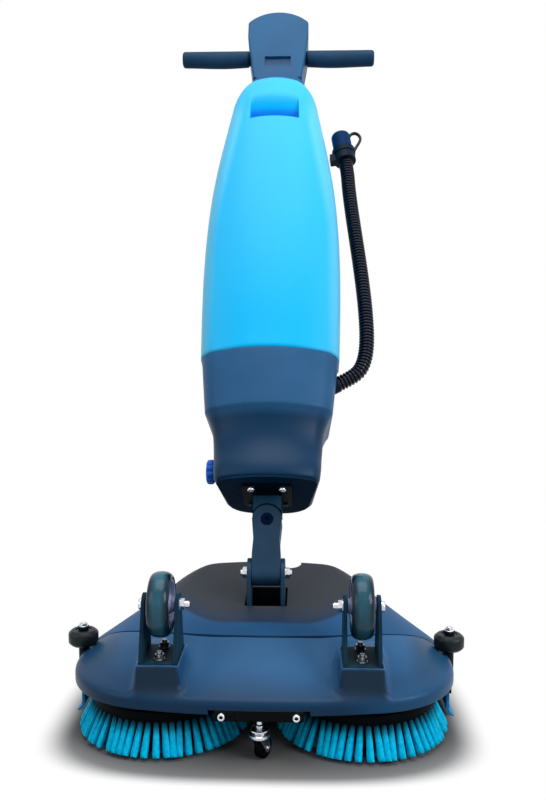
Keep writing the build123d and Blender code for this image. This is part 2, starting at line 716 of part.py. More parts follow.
for side, sign in SIDES.items():
    with BuildPart() as bumper_roller:
        with BuildSketch(Plane.XY.offset(ROLLER_BOTTOM)):
            with Locations((sign * ROLLER_X, ROLLER_Y)):
                Circle(ROLLER_RADIUS)
                Circle(ROLLER_PIN + FIT_GAP, mode=Mode.SUBTRACT)
        extrude(amount=ROLLER_HEIGHT)
        rims = bumper_roller.edges().filter_by(GeomType.CIRCLE).sort_by(SortBy.RADIUS)[-2:]
        fillet(rims, ROLLER_ROUND)
    save(bumper_roller.part, f"{side}_bumper_roller")


def squeegee_path(front, drawn_in):
    """Plan line of a squeegee blade, from one front end round the back to the other."""
    half = BLADE_HALF - drawn_in
    back = BLADE_BACK - drawn_in
    with BuildLine() as path:
        FilletPolyline(
            (-half, front), (-half, back), (half, back), (half, front), radius=BLADE_BEND - drawn_in
        )
    return path.line


def squeegee_blade(path):
    """Rubber strip along a plan line, with its foot flared outwards and cut flat on the floor."""
    start = path @ 0
    with BuildPart() as blade:
        with BuildSketch(Plane(origin=start, x_dir=(-1, 0, 0), z_dir=(0, 1, 0))):
            half = BLADE_THICK / 2
            with BuildLine():
                Polyline(
                    (-half, BLADE_HEIGHT),
                    (half, BLADE_HEIGHT),
                    (half, BLADE_FLARE_HEIGHT),
                    (half + BLADE_FLARE, 0),
                    (BLADE_FLARE - half, 0),
                    (-half, BLADE_FLARE_HEIGHT),
                    close=True,
                )
            make_face()
        sweep(path=path)
    return blade.part


# Squeegee: two rubber blades in a moulded holder that hangs from the chassis
outer_line = squeegee_path(BLADE_FRONT, 0)
inner_line = squeegee_path(INNER_BLADE_FRONT, BLADE_SPACING)
outer_blade = squeegee_blade(outer_line)
inner_blade = squeegee_blade(inner_line)
save(outer_blade, "rear_squeegee_blade")
save(inner_blade, "front_squeegee_blade")
with BuildPart() as squeegee_frame:
    with BuildSketch(Plane.XY.offset(HOLDER_BOTTOM)):
        trace(outer_line, HOLDER_WIDTH)
        trace(inner_line, HOLDER_WIDTH)
        trace(squeegee_path(INNER_BLADE_FRONT, BLADE_SPACING / 2), BLADE_SPACING)
        trace(outer_line, BLADE_THICK + 2 * RUN_GAP, mode=Mode.SUBTRACT)
        trace(inner_line, BLADE_THICK + 2 * RUN_GAP, mode=Mode.SUBTRACT)
    extrude(amount=BLADE_HEIGHT - HOLDER_BOTTOM)
    with BuildSketch(Plane.XY.offset(BLADE_HEIGHT)):
        trace(outer_line, HOLDER_WIDTH)
        trace(squeegee_path(INNER_BLADE_FRONT, BLADE_SPACING / 2), BLADE_SPACING + HOLDER_WIDTH)
        with Locations((NOTCH_X, (BLADE_BACK + PORT_Y) / 2)):
            RectangleRounded(PORT_BOX, PORT_Y - BLADE_BACK + PORT_BOX, WALL)
    extrude(amount=HOLDER_TOP - BLADE_HEIGHT)
    with BuildSketch(Plane.XY.offset(HOLDER_TOP)):
        with Locations(*[(x, BLADE_BACK - BLADE_SPACING / 2) for x in SQUEEGEE_POSTS]):
            Circle(SQUEEGEE_POST_RADIUS)
    extrude(amount=CHASSIS_BOTTOM - HOLDER_TOP)
    with BuildSketch(Plane.XY.offset(BLADE_HEIGHT)):
        with Locations((NOTCH_X, PORT_Y)):
            Circle(PORT_BORE)
    extrude(amount=HOLDER_TOP, mode=Mode.SUBTRACT)
save(squeegee_frame.part, "squeegee_frame")
with BuildPart() as suction_port:
    with BuildSketch(Plane.XY.offset(HOLDER_TOP)):
        with Locations((NOTCH_X, PORT_Y)):
            RectangleRounded(PORT_BOX, PORT_BOX, WALL)
    extrude(amount=PORT_FLANGE)
    with BuildSketch(Plane.XY.offset(HOLDER_TOP)):
        with Locations((NOTCH_X, PORT_Y)):
            Circle(PORT_RADIUS)
    extrude(amount=PORT_TOP - HOLDER_TOP)
    with BuildSketch(Plane.XY.offset(HOLDER_TOP)):
        with Locations((NOTCH_X, PORT_Y)):
            Circle(PORT_BORE)
    extrude(amount=PORT_TOP - HOLDER_TOP, mode=Mode.SUBTRACT)
save(suction_port.part, "suction_port")

# Front cross-member with its scalloped back, and the swivel caster under it
with BuildPart() as front_crossbar:
    with BuildSketch(Plane.XY.offset(BAR_BOTTOM)):
        with Locations((0, (DECK_FRONT + BAR_BACK) / 2)):
            RectangleRounded(2 * BAR_HALF, BAR_BACK - DECK_FRONT, WALL)
        with Locations((-BRUSH_X, BRUSH_Y), (BRUSH_X, BRUSH_Y)):
            Circle(TIP_RADIUS + BAR_SCALLOP, mode=Mode.SUBTRACT)
        with Locations((0, CASTER_Y)):
            Circle(CASTER_STEM + FIT_GAP, mode=Mode.SUBTRACT)
    extrude(amount=CHASSIS_BOTTOM - BAR_BOTTOM)
    with BuildSketch(Plane.XZ.offset(-DECK_FRONT)):
        with Locations((-LIP_BOLT_X, LIP_BOLT_Z), (LIP_BOLT_X, LIP_BOLT_Z)):
            Circle(LIP_BOLT_RADIUS + FIT_GAP)
    extrude(amount=-LIP_BOLT_REACH - RUN_GAP, mode=Mode.SUBTRACT)
save(front_crossbar.part, "front_crossbar")

with BuildPart() as deck_bolts:
    for sign in SIDES.values():
        for y in FORK_BOLT_Y:
            with BuildSketch(Plane.XY.offset(FORK_FLOOR - WALL)):
                with Locations((sign * WHEEL_X, y)):
                    Circle(BOLT_RADIUS)
            extrude(amount=WALL + FORK_PLATE + NUT_HEIGHT + BOLT_RADIUS)
            with BuildSketch(Plane.XY.offset(FORK_FLOOR + FORK_PLATE)):
                with Locations((sign * WHEEL_X, y)):
                    RegularPolygon(NUT_FLATS / 2, 6, major_radius=False)
            extrude(amount=NUT_HEIGHT)
            with BuildSketch(Plane.XY.offset(FORK_FLOOR - WALL)):
                with Locations((sign * WHEEL_X, y)):
                    Circle(NUT_FLATS / 2)
            extrude(amount=-BOLT_RADIUS)
        with BuildSketch(Plane.XZ.offset(-DECK_FRONT)):
            with Locations((sign * LIP_BOLT_X, LIP_BOLT_Z)):
                Circle(LIP_BOLT_HEAD)
        extrude(amount=LIP_BOLT_HEAD)
        with BuildSketch(Plane.XZ.offset(-DECK_FRONT)):
            with Locations((sign * LIP_BOLT_X, LIP_BOLT_Z)):
                Circle(LIP_BOLT_RADIUS)
        extrude(amount=-LIP_BOLT_REACH)
save(deck_bolts.part, "deck_bolts")

# Swivel caster: fixed stem with its upper race, turning fork and wheel
TRAIL_DIR = Vector(cos(radians(CASTER_TURN)), sin(radians(CASTER_TURN)), 0)
AXLE_DIR = Vector(-TRAIL_DIR.Y, TRAIL_DIR.X, 0)
CASTER_AXIS = Vector(0, CASTER_Y, 0)
FORK_TOP = CASTER_TOP + RACE_HEIGHT / 2
with BuildPart() as caster_stem:
    with BuildSketch(Plane.XY.offset(FORK_TOP - 2 * CASTER_PLATE)):
        with Locations((0, CASTER_Y)):
            Circle(CASTER_STEM)
    extrude(amount=CHASSIS_BOTTOM - FORK_TOP + 2 * CASTER_PLATE)
    with BuildSketch(Plane.XY.offset(FORK_TOP + RUN_GAP)):
        with Locations((0, CASTER_Y)):
            Circle(RACE_RADIUS)
    extrude(amount=RACE_HEIGHT)
    with BuildSketch(Plane.XY.offset(FORK_TOP + RUN_GAP + RACE_HEIGHT)):
        with Locations((0, CASTER_Y)):
            RegularPolygon(CASTER_NUT / 2, 6, major_radius=False)
    extrude(amount=RACE_HEIGHT)
    with BuildSketch(Plane.XY.offset(BAR_BOTTOM)):
        with Locations((0, CASTER_Y)):
            RegularPolygon(NUT_FLATS / 2, 6, major_radius=False)
    extrude(amount=-RACE_HEIGHT)
    with BuildSketch(Plane.XY.offset(FORK_TOP - CASTER_PLATE - RUN_GAP)):
        with Locations((0, CASTER_Y)):
            Circle(CASTER_STEM + CASTER_PLATE)
    extrude(amount=-CASTER_PLATE)
save(caster_stem.part, "caster_stem")

wheel_centre = CASTER_AXIS + TRAIL_DIR * CASTER_TRAIL + Vector(0, 0, CASTER_WHEEL_RADIUS)
cheek_inside = CASTER_WHEEL_WIDTH / 2 + RUN_GAP
with BuildPart() as caster_fork:
    with BuildSketch(Plane.XY.offset(FORK_TOP)):
        with Locations((0, CASTER_Y)):
            Circle(RACE_RADIUS + RACE_LIP)
            Circle(CASTER_STEM + FIT_GAP, mode=Mode.SUBTRACT)
    extrude(amount=-CASTER_PLATE)
    for turn in SIDES.values():
        foot = CASTER_AXIS + AXLE_DIR * turn * cheek_inside
        with BuildSketch(Plane(origin=foot, x_dir=TRAIL_DIR, z_dir=AXLE_DIR * -1)):
            with Locations((CASTER_TRAIL, CASTER_WHEEL_RADIUS)):
                Circle(CASTER_EYE)
            with Locations((0, FORK_TOP - CASTER_PLATE / 2)):
                Rectangle(CASTER_CHEEK, CASTER_PLATE)
            make_hull()
        extrude(amount=-turn * CASTER_PLATE)
    with BuildSketch(Plane(origin=wheel_centre, x_dir=TRAIL_DIR, z_dir=AXLE_DIR)):
        Circle(CASTER_AXLE)
    extrude(amount=cheek_inside + 2 * CASTER_PLATE, both=True)
save(caster_fork.part, "caster_fork")

with BuildPart() as caster_wheel:
    with BuildSketch(Plane(origin=wheel_centre, x_dir=TRAIL_DIR, z_dir=AXLE_DIR)):
        Circle(CASTER_WHEEL_RADIUS)
        Circle(CASTER_AXLE + FIT_GAP, mode=Mode.SUBTRACT)
    extrude(amount=CASTER_WHEEL_WIDTH / 2, both=True)
    fillet(caster_wheel.edges().filter_by(GeomType.CIRCLE).sort_by(SortBy.RADIUS)[-2:], CASTER_ROUND)
save(caster_wheel.part, "caster_wheel")

# Brushes: gear motors on the chassis, drive shafts, blocks and bristles
for side, sign in SIDES.items():
    centre = (sign * BRUSH_X, BRUSH_Y)
    with BuildPart() as brush_motor:
        with BuildSketch(Plane.XY.offset(CHASSIS_TOP)):
            with Locations(centre):
                Circle(MOTOR_FLANGE)
        extrude(amount=MOTOR_FLANGE_HEIGHT)
        with BuildSketch(Plane.XY.offset(CHASSIS_TOP)):
            with Locations(centre):
                Circle(MOTOR_RADIUS)
        extrude(amount=MOTOR_HEIGHT)
        fillet(brush_motor.edges().filter_by(GeomType.CIRCLE).sort_by(Axis.Z)[-1], WALL / 2)
        with BuildSketch(Plane.XY.offset(CHASSIS_TOP)):
            with Locations(centre):
                Circle(SHAFT_RADIUS + FIT_GAP)
        extrude(amount=SHAFT_REACH + RUN_GAP, mode=Mode.SUBTRACT)
    save(brush_motor.part, f"{side}_brush_motor")

    with BuildPart() as drive_shaft:
        with BuildSketch(Plane.XY.offset(BLOCK_TOP - SHAFT_SINK)):
            with Locations(centre):
                Circle(SHAFT_RADIUS)
        extrude(amount=CHASSIS_TOP + SHAFT_REACH - BLOCK_TOP + SHAFT_SINK)
    save(drive_shaft.part, f"{side}_drive_shaft")

    with BuildPart() as brush_block:
        with BuildSketch(Plane.XY.offset(TUFT_LENGTH + BACKING)):
            with Locations(centre):
                Circle(BLOCK_RADIUS)
        extrude(amount=BLOCK_HEIGHT - BACKING)
        chamfer(brush_block.edges().filter_by(GeomType.CIRCLE).sort_by(Axis.Z)[-1], BACKING)
        with BuildSketch(Plane.XY.offset(BLOCK_TOP)):
            with Locations(centre):
                Circle(HUB_RADIUS)
        extrude(amount=CHASSIS_BOTTOM - RUN_GAP - BLOCK_TOP)
        with BuildSketch(Plane.XY.offset(BLOCK_TOP - SHAFT_SINK)):
            with Locations(centre):
                Circle(SHAFT_RADIUS + FIT_GAP)
        extrude(amount=CHASSIS_BOTTOM - BLOCK_TOP + SHAFT_SINK, mode=Mode.SUBTRACT)
    save(brush_block.part, f"{side}_brush_block")


def tuft(radius):
    """One tuft of bristles: square at its root, leaning outwards and wider at its tip."""
    tip = radius * (TIP_RADIUS - TUFT_TIP_DEEP / 2) / TUFT_RINGS[0][1]
    with BuildPart() as strand:
        with BuildSketch(Plane.XY.offset(TUFT_LENGTH + TUFT_SINK)):
            with Locations((radius, 0)):
                Rectangle(TUFT_ROOT, TUFT_ROOT)
        with BuildSketch(Plane.XY):
            with Locations((tip, 0)):
                Rectangle(TUFT_TIP_DEEP, TUFT_TIP_WIDE)
        loft()
    return strand.part


tufts = []
for count, radius in TUFT_RINGS:
    strand = tuft(radius)
    tufts += [location * strand for location in PolarLocations(0, count).locations]
with BuildPart() as brush_pattern:
    with BuildSketch(Plane.XY.offset(TUFT_LENGTH)):
        Circle(BLOCK_RADIUS)
    extrude(amount=BACKING)
    add(tufts)
for side, sign in SIDES.items():
    with BuildPart(Plane((sign * BRUSH_X, BRUSH_Y, 0))) as bristles:
        add(brush_pattern.part)
    save(bristles.part, f"{side}_bristles")

# Joint: bracket on the chassis, tilt pin, arm, roll pin and the bracket under the upright
with BuildPart() as joint_bracket:
    with BuildSketch(Plane.XY.offset(CHASSIS_TOP)):
        RectangleRounded(2 * FLANGE_HALF, 2 * FLANGE_DEPTH, WALL)
    extrude(amount=BRACKET_FLANGE)
    for sign in SIDES.values():
        with BuildSketch(Plane.YZ.offset(sign * ARM_GAP)):
            with Locations((0, TILT_Z)):
                Circle(BRACKET_EYE)
            with Locations((0, CHASSIS_TOP + BRACKET_FLANGE)):
                Rectangle(BRACKET_FOOT, 2 * BRACKET_FLANGE)
            make_hull()
            with Locations((0, TILT_Z)):
                Circle(TILT_PIN + FIT_GAP, mode=Mode.SUBTRACT)
        extrude(amount=sign * BRACKET_THICK)
save(joint_bracket.part, "joint_bracket")

with BuildPart() as tilt_pin:
    with BuildSketch(Plane.YZ.offset(-BRACKET_OUTER - PIN_HEAD)):
        with Locations((0, TILT_Z)):
            Circle(TILT_PIN)
    extrude(amount=2 * (BRACKET_OUTER + PIN_HEAD) + PIN_TAIL)
    with BuildSketch(Plane.YZ.offset(-BRACKET_OUTER - PIN_HEAD), Plane.YZ.offset(BRACKET_OUTER)):
        with Locations((0, TILT_Z)):
            RegularPolygon(PIN_HEAD_FLATS / 2, 6, major_radius=False)
    extrude(amount=PIN_HEAD)
save(tilt_pin.part, "tilt_pin")

CHEEK_OUTER = TONGUE_HALF + RUN_GAP + CHEEK
with BuildPart() as swivel_arm:
    with BuildSketch(FACING):
        Circle(ROLL_EYE)
        with BuildLine():
            flank = Polyline(
                (-ROLL_EYE, 0),
                (-ARM_WAIST, WAIST_LEVEL),
                (-ARM_HALF, SHANK_LEVEL),
                (-ARM_HALF, -ARM_LENGTH - TILT_EYE),
            )
            mirror(flank, about=Plane.YZ)
            Line((-ROLL_EYE, 0), (ROLL_EYE, 0))
            Line((-ARM_HALF, -ARM_LENGTH - TILT_EYE), (ARM_HALF, -ARM_LENGTH - TILT_EYE))
        make_face()
    extrude(amount=CHEEK_OUTER, both=True)
    with BuildSketch(SIDEWAYS):
        with Locations((0, -ARM_LENGTH)):
            Circle(TILT_EYE)
        Rectangle(2 * CHEEK_OUTER, 2 * (ROLL_EYE + EYE_GAP))
        make_hull()
        with Locations((0, -ARM_LENGTH)):
            Circle(TILT_PIN + FIT_GAP, mode=Mode.SUBTRACT)
        Rectangle(2 * (TONGUE_HALF + RUN_GAP), 2 * (ROLL_EYE + EYE_GAP), mode=Mode.SUBTRACT)
    extrude(amount=2 * ROLL_EYE, both=True, mode=Mode.INTERSECT)
    with BuildSketch(FACING):
        Circle(ROLL_PIN_RADIUS + FIT_GAP)
    extrude(amount=2 * CHEEK_OUTER, both=True, mode=Mode.SUBTRACT)
    with BuildSketch(FACING.offset(CHEEK_OUTER)):
        Circle(ROLL_HEAD_RADIUS + FIT_GAP)
    extrude(amount=-ROLL_HEAD, mode=Mode.SUBTRACT)
save(swivel_arm.part, "swivel_arm")

with BuildPart() as roll_pin:
    with BuildSketch(FACING):
        Circle(ROLL_PIN_RADIUS)
    extrude(amount=CHEEK_OUTER, both=True)
    with BuildSketch(FACING.offset(CHEEK_OUTER)):
        Circle(ROLL_HEAD_RADIUS)
    extrude(amount=-ROLL_HEAD)
    with BuildSketch(FACING.offset(CHEEK_OUTER)):
        RegularPolygon(ROLL_PIN_RADIUS / 2, 6)
    extrude(amount=-ROLL_HEAD, mode=Mode.SUBTRACT)
save(roll_pin.part, "roll_pin")

FLANGE_LEVEL = PLATE_LEVEL - FLANGE_THICK
with BuildPart() as swivel_bracket:
    with BuildSketch(FACING):
        with Locations((0, FLANGE_LEVEL / 2)):
            Rectangle(2 * ROLL_EYE, FLANGE_LEVEL)
        Circle(ROLL_EYE + EYE_GAP, mode=Mode.SUBTRACT)
    extrude(amount=CHEEK_OUTER, both=True)
    with BuildSketch(FACING):
        Circle(ROLL_EYE - TONGUE_INSET)
        with Locations((0, FLANGE_LEVEL - TONGUE_INSET)):
            Rectangle(2 * (ROLL_EYE - TONGUE_INSET), 2 * TONGUE_INSET)
        make_hull()
        Circle(ROLL_PIN_RADIUS + FIT_GAP, mode=Mode.SUBTRACT)
    extrude(amount=TONGUE_HALF, both=True)
    with BuildSketch(UPRIGHT.offset(FLANGE_LEVEL)):
        with Locations((0, FLANGE_SHIFT)):
            RectangleRounded(*FLANGE_SIZE, WALL)
        with Locations(*BRACKET_BOLTS):
            Circle(BRACKET_BOLT + FIT_GAP, mode=Mode.SUBTRACT)
    extrude(amount=FLANGE_THICK)
save(swivel_bracket.part, "swivel_bracket")

PLATE_TOP = PLATE_LEVEL + PLATE_THICK
with BuildPart() as bracket_bolts:
    with BuildSketch(UPRIGHT.offset(FLANGE_LEVEL)):
        with Locations(*BRACKET_BOLTS):
            Circle(BRACKET_BOLT_HEAD)
    extrude(amount=-BRACKET_BOLT)
    with BuildSketch(UPRIGHT.offset(FLANGE_LEVEL)):
        with Locations(*BRACKET_BOLTS):
            Circle(BRACKET_BOLT)
    extrude(amount=PLATE_TOP - FLANGE_LEVEL + 2 * BRACKET_BOLT)
    with BuildSketch(UPRIGHT.offset(PLATE_TOP)):
        with Locations(*BRACKET_BOLTS):
            RegularPolygon(BRACKET_BOLT_HEAD, 6, major_radius=False)
    extrude(amount=BRACKET_NUT)
save(bracket_bolts.part, "bracket_bolts")

# Base of the upright: a bottom plate and a hollow housing with a closed top
with BuildPart() as base_plate:
    extrude(body_level(PLATE_LEVEL, *BASE_LOWER[0][1:], inset=PLATE_INSET), amount=PLATE_THICK)
    with BuildSketch(UPRIGHT.offset(PLATE_LEVEL)):
        with Locations(*BRACKET_BOLTS):
            Circle(BRACKET_BOLT + FIT_GAP)
    extrude(amount=PLATE_THICK, mode=Mode.SUBTRACT)
save(base_plate.part, "base_plate")

SPIGOT_DIR = Vector(cos(radians(HOSE_RISE)), 0, 0) + ALONG * sin(radians(HOSE_RISE))
hose_start = upright_point(HOSE_START[0], HOSE_V, HOSE_START[1])
spigot_root = Plane(origin=hose_start - SPIGOT_DIR * SPIGOT_LENGTH, x_dir=BEHIND, z_dir=SPIGOT_DIR)
with BuildPart() as base_housing:
    loft([body_level(*row) for row in BASE_LOWER])
    loft([body_level(*row) for row in BASE_UPPER])
    loft([body_level(*row, inset=SHELL) for row in BASE_LOWER], mode=Mode.SUBTRACT)
    ceiling = (SEAM_LEVEL - SHELL, *BASE_UPPER[-1][1:])
    loft([body_level(*row, inset=SHELL) for row in (*BASE_UPPER[:-1], ceiling)], mode=Mode.SUBTRACT)
    with BuildSketch(UPRIGHT.offset(SEAM_LEVEL)):
        with Locations((0, OUTLET_V)):
            Circle(OUTLET_RADIUS + RUN_GAP)
    extrude(amount=-2 * SHELL, mode=Mode.SUBTRACT)
    with BuildSketch(spigot_root):
        Circle(HOSE_RADIUS + RUN_GAP)
    extrude(amount=2 * SPIGOT_LENGTH, mode=Mode.SUBTRACT)
    with BuildSketch(SIDEWAYS.offset(VALVE_FACE)):
        with Locations((VALVE_V, VALVE_LEVEL)):
            Circle(VALVE_STEM + RUN_GAP)
    extrude(amount=KNOB_OUTER - VALVE_FACE, mode=Mode.SUBTRACT)
save(base_housing.part, "base_housing")

with BuildPart() as vacuum_motor:
    with BuildSketch(UPRIGHT.offset(SEAM_LEVEL - SHELL)):
        with Locations((0, FAN_V)):
            Circle(FAN_RADIUS)
    extrude(amount=-FAN_HEIGHT)
save(vacuum_motor.part, "vacuum_motor")

# Water valve: its body inside the base and the knob that turns it from outside
with BuildPart() as water_valve:
    with BuildSketch(SIDEWAYS.offset(VALVE_FACE)):
        with Locations((VALVE_V, VALVE_LEVEL)):
            Rectangle(VALVE_BODY, VALVE_BODY)
    extrude(amount=VALVE_DEPTH)
    with BuildSketch(SIDEWAYS.offset(VALVE_FACE)):
        with Locations((VALVE_V, VALVE_LEVEL)):
            Circle(VALVE_STEM + FIT_GAP)
    extrude(amount=VALVE_DEPTH / 2, mode=Mode.SUBTRACT)
save(water_valve.part, "water_valve")

with BuildPart() as valve_knob:
    with BuildSketch(SIDEWAYS.offset(KNOB_OUTER)):
        with Locations((VALVE_V, VALVE_LEVEL)):
            Circle(KNOB_RADIUS)
    extrude(amount=KNOB_THICK)
    chamfer(valve_knob.edges().filter_by(GeomType.CIRCLE), FLUTE_RADIUS)
    with BuildSketch(SIDEWAYS.offset(KNOB_OUTER)):
        with Locations((VALVE_V, VALVE_LEVEL)):
            with PolarLocations(KNOB_RADIUS + FLUTE_RADIUS / 2, KNOB_FLUTES):
                Circle(FLUTE_RADIUS)
    extrude(amount=KNOB_THICK, mode=Mode.SUBTRACT)
    with BuildSketch(SIDEWAYS.offset(KNOB_OUTER + KNOB_THICK / 2)):
        with Locations((VALVE_V, VALVE_LEVEL)):
            Circle(VALVE_STEM)
    extrude(amount=VALVE_FACE - KNOB_OUTER - KNOB_THICK / 2 + VALVE_DEPTH / 3)
save(valve_knob.part, "valve_knob")


def grip_recess(wall):
    """Finger recess in the front of the tank, or the block that walls it in when given a wall."""
    foot = GRIP_LEVEL - wall
    deep = TANK_LEVELS[-2][2] + GRIP_DEPTH + wall
    with BuildPart() as recess:
        with BuildSketch(SIDEWAYS):
            with BuildLine():
                rise = (deep - GRIP_FRONT) / tan(radians(GRIP_SLOPE))
                Polyline((GRIP_FRONT, foot), (deep, foot), (GRIP_FRONT, foot + rise), close=True)
            make_face()
        extrude(amount=GRIP_WIDTH, both=True)
        with BuildSketch(FACING):
            with Locations((0, GRIP_LEVEL + GRIP_HEIGHT / 2)):
                RectangleRounded(GRIP_WIDTH + 2 * wall, GRIP_HEIGHT + 2 * wall, GRIP_ROUND + wall)
                with Locations((0, -GRIP_HEIGHT / 4 - wall / 2)):
                    Rectangle(GRIP_WIDTH + 2 * wall, GRIP_HEIGHT / 2 + wall)
        extrude(amount=-2 * GRIP_FRONT, mode=Mode.INTERSECT)
    return recess.part


# Tank: a rounded shell with a finger recess and an outlet through the top of the base
with BuildPart() as tank_hollow:
    floor = (SEAM_LEVEL + SHELL, *TANK_LEVELS[0][1:])
    loft([tank_level(*row, inset=SHELL) for row in (floor, *TANK_LEVELS[1:])])
    loft([tank_level(*crown_level(step, SHELL), inset=SHELL) for step in range(CROWN_STEPS + 1)])
    add(grip_recess(SHELL), mode=Mode.SUBTRACT)
with BuildPart() as tank:
    loft([tank_level(*row) for row in TANK_LEVELS])
    loft([tank_level(*crown_level(step)) for step in range(CROWN_STEPS + 1)])
    add(tank_hollow.part, mode=Mode.SUBTRACT)
    add(grip_recess(0), mode=Mode.SUBTRACT)
    with BuildSketch(UPRIGHT.offset(SEAM_LEVEL)):
        with Locations((0, OUTLET_V)):
            Circle(OUTLET_RADIUS)
    extrude(amount=-OUTLET_DEPTH)
    with BuildSketch(UPRIGHT.offset(SEAM_LEVEL - OUTLET_DEPTH)):
        with Locations((0, OUTLET_V)):
            Circle(OUTLET_BORE)
    extrude(amount=OUTLET_DEPTH + 2 * SHELL, mode=Mode.SUBTRACT)
save(tank.part, "tank")

# Back spine with the battery inside it
with BuildPart() as back_spine:
    loft([spine_level(*row) for row in SPINE_LEVELS])
    loft([spine_level(*row) for row in (SPINE_LEVELS[-1], SPINE_TOP)])
    loft([spine_level(*row, inset=SHELL) for row in SPINE_LEVELS], mode=Mode.SUBTRACT)
save(back_spine.part, "back_spine")

with BuildPart() as battery_pack:
    with BuildSketch(UPRIGHT.offset(SEAM_LEVEL)):
        with Locations((0, BATTERY_V)):
            RectangleRounded(*BATTERY_SIZE[:2], WALL)
    extrude(amount=BATTERY_SIZE[2])
save(battery_pack.part, "battery_pack")

# Console with its handle: the panel slopes down towards the person behind the machine
panel_turn = radians(PANEL_SLOPE)
PANEL_NORMAL = BEHIND * sin(panel_turn) + ALONG * cos(panel_turn)
panel_top = CONSOLE_FRONT + PANEL_SETBACK
panel_fall = (CONSOLE_REAR - panel_top) * tan(panel_turn)
PANEL = Plane(
    origin=upright_point(0, (panel_top + CONSOLE_REAR) / 2, CONSOLE_TOP - panel_fall / 2),
    x_dir=(1, 0, 0),
    z_dir=PANEL_NORMAL,
)
with BuildPart() as console_housing:
    with BuildSketch(FACING.offset(-CONSOLE_REAR)) as console_front:
        with BuildLine():
            crest = ThreePointArc(
                (-CONSOLE_WIDE, CONSOLE_CORNER_LEVEL), (0, CONSOLE_TOP), (CONSOLE_WIDE, CONSOLE_CORNER_LEVEL)
            )
            Polyline(
                crest @ 1,
                (CONSOLE_WIDE, CONSOLE_WIDE_LEVEL),
                (CONSOLE_FOOT, CONSOLE_BOTTOM),
                (-CONSOLE_FOOT, CONSOLE_BOTTOM),
                (-CONSOLE_WIDE, CONSOLE_WIDE_LEVEL),
                crest @ 0,
            )
        make_face()
        shoulders = console_front.vertices().group_by(Axis.Y)
        fillet(shoulders[1], CONSOLE_BEND)
        fillet(console_front.vertices().group_by(Axis.Y)[-1], CONSOLE_CORNER)
    extrude(amount=CONSOLE_REAR - CONSOLE_FRONT)
    with BuildSketch(SIDEWAYS):
        with BuildLine():
            Polyline(
                (CONSOLE_FRONT, CONSOLE_BOTTOM),
                (CONSOLE_HEEL, CONSOLE_BOTTOM),
                (CONSOLE_REAR, CONSOLE_HEEL_LEVEL),
                (CONSOLE_REAR, CONSOLE_TOP - panel_fall),
                (panel_top, CONSOLE_TOP),
                (CONSOLE_FRONT, CONSOLE_TOP),
                close=True,
            )
        make_face()
    extrude(amount=2 * CONSOLE_WIDE, both=True, mode=Mode.INTERSECT)
    front_face = console_housing.faces().sort_by(Axis(ROLL, AHEAD))[-1]
    fillet(front_face.edges().sort_by(Axis(ROLL, ALONG))[1:], CONSOLE_EDGE)
    half, front, rear, bottom, top = CONSOLE_CAVITY
    with BuildSketch(SIDEWAYS):
        with Locations(((front + rear) / 2, (bottom + top) / 2)):
            Rectangle(rear - front, top - bottom)
    extrude(amount=half, both=True, mode=Mode.SUBTRACT)
    with BuildSketch(PANEL):
        with Locations((0, PANEL_SHIFT)):
            RectangleRounded(PANEL_WIDTH + 2 * SHUT_GAP, PANEL_LENGTH + 2 * SHUT_GAP, PANEL_RADIUS)
    extrude(amount=-PANEL_THICK, mode=Mode.SUBTRACT)
    with BuildSketch(PANEL):
        with Locations((0, PANEL_SHIFT)):
            Rectangle(PANEL_WIDTH - 2 * PANEL_LEDGE, PANEL_LENGTH - 2 * PANEL_LEDGE)
    extrude(amount=-PANEL_WELL, mode=Mode.SUBTRACT)
    with BuildSketch(SIDEWAYS):
        with Locations((HANDLE_V, HANDLE_LEVEL)):
            Circle(BAR_RADIUS + FIT_GAP)
    extrude(amount=2 * CONSOLE_WIDE, both=True, mode=Mode.SUBTRACT)
    with BuildSketch(FACING.offset(-CONSOLE_FRONT)):
        with Locations((0, CONSOLE_SLOT_LEVEL)):
            RectangleRounded(CONSOLE_SLOT[0], CONSOLE_SLOT[1], CONSOLE_SLOT[2])
    extrude(amount=-CONSOLE_SLOT[2], mode=Mode.SUBTRACT)
save(console_housing.part, "console_housing")

with BuildPart() as console_panel:
    with BuildSketch(PANEL):
        with Locations((0, PANEL_SHIFT)):
            RectangleRounded(PANEL_WIDTH, PANEL_LENGTH, PANEL_RADIUS)
        with Locations((0, LENS_ROW)):
            Rectangle(LENS_WIDTH + 2 * SHUT_GAP, LENS_LENGTH + 2 * SHUT_GAP, mode=Mode.SUBTRACT)
        with Locations((-BUTTON_X, BUTTON_ROW), (BUTTON_X, BUTTON_ROW)):
            Circle(BUTTON_RADIUS + SHUT_GAP, mode=Mode.SUBTRACT)
    extrude(amount=-PANEL_THICK)
save(console_panel.part, "console_panel")

with BuildPart() as display_lens:
    with BuildSketch(PANEL):
        with Locations((0, LENS_ROW)):
            Rectangle(LENS_WIDTH, LENS_LENGTH)
    extrude(amount=-LENS_THICK)
save(display_lens.part, "display_lens")

for name, sign in (("power_button", -1), ("water_button", 1)):
    with BuildPart() as button:
        with BuildSketch(PANEL.offset(BUTTON_PROUD)):
            with Locations((sign * BUTTON_X, BUTTON_ROW)):
                Circle(BUTTON_RADIUS)
        extrude(amount=-BUTTON_PROUD - BUTTON_SINK)
        fillet(button.edges().filter_by(GeomType.CIRCLE).sort_by(Axis(ROLL, PANEL_NORMAL))[-1], BUTTON_ROUND)
    save(button.part, name)

with BuildPart() as handle_bar:
    with BuildSketch(SIDEWAYS):
        with Locations((HANDLE_V, HANDLE_LEVEL)):
            Circle(BAR_RADIUS)
            Circle(BAR_RADIUS - BAR_WALL, mode=Mode.SUBTRACT)
    extrude(amount=HANDLE_HALF - GRIP_END, both=True)
save(handle_bar.part, "handle_bar")

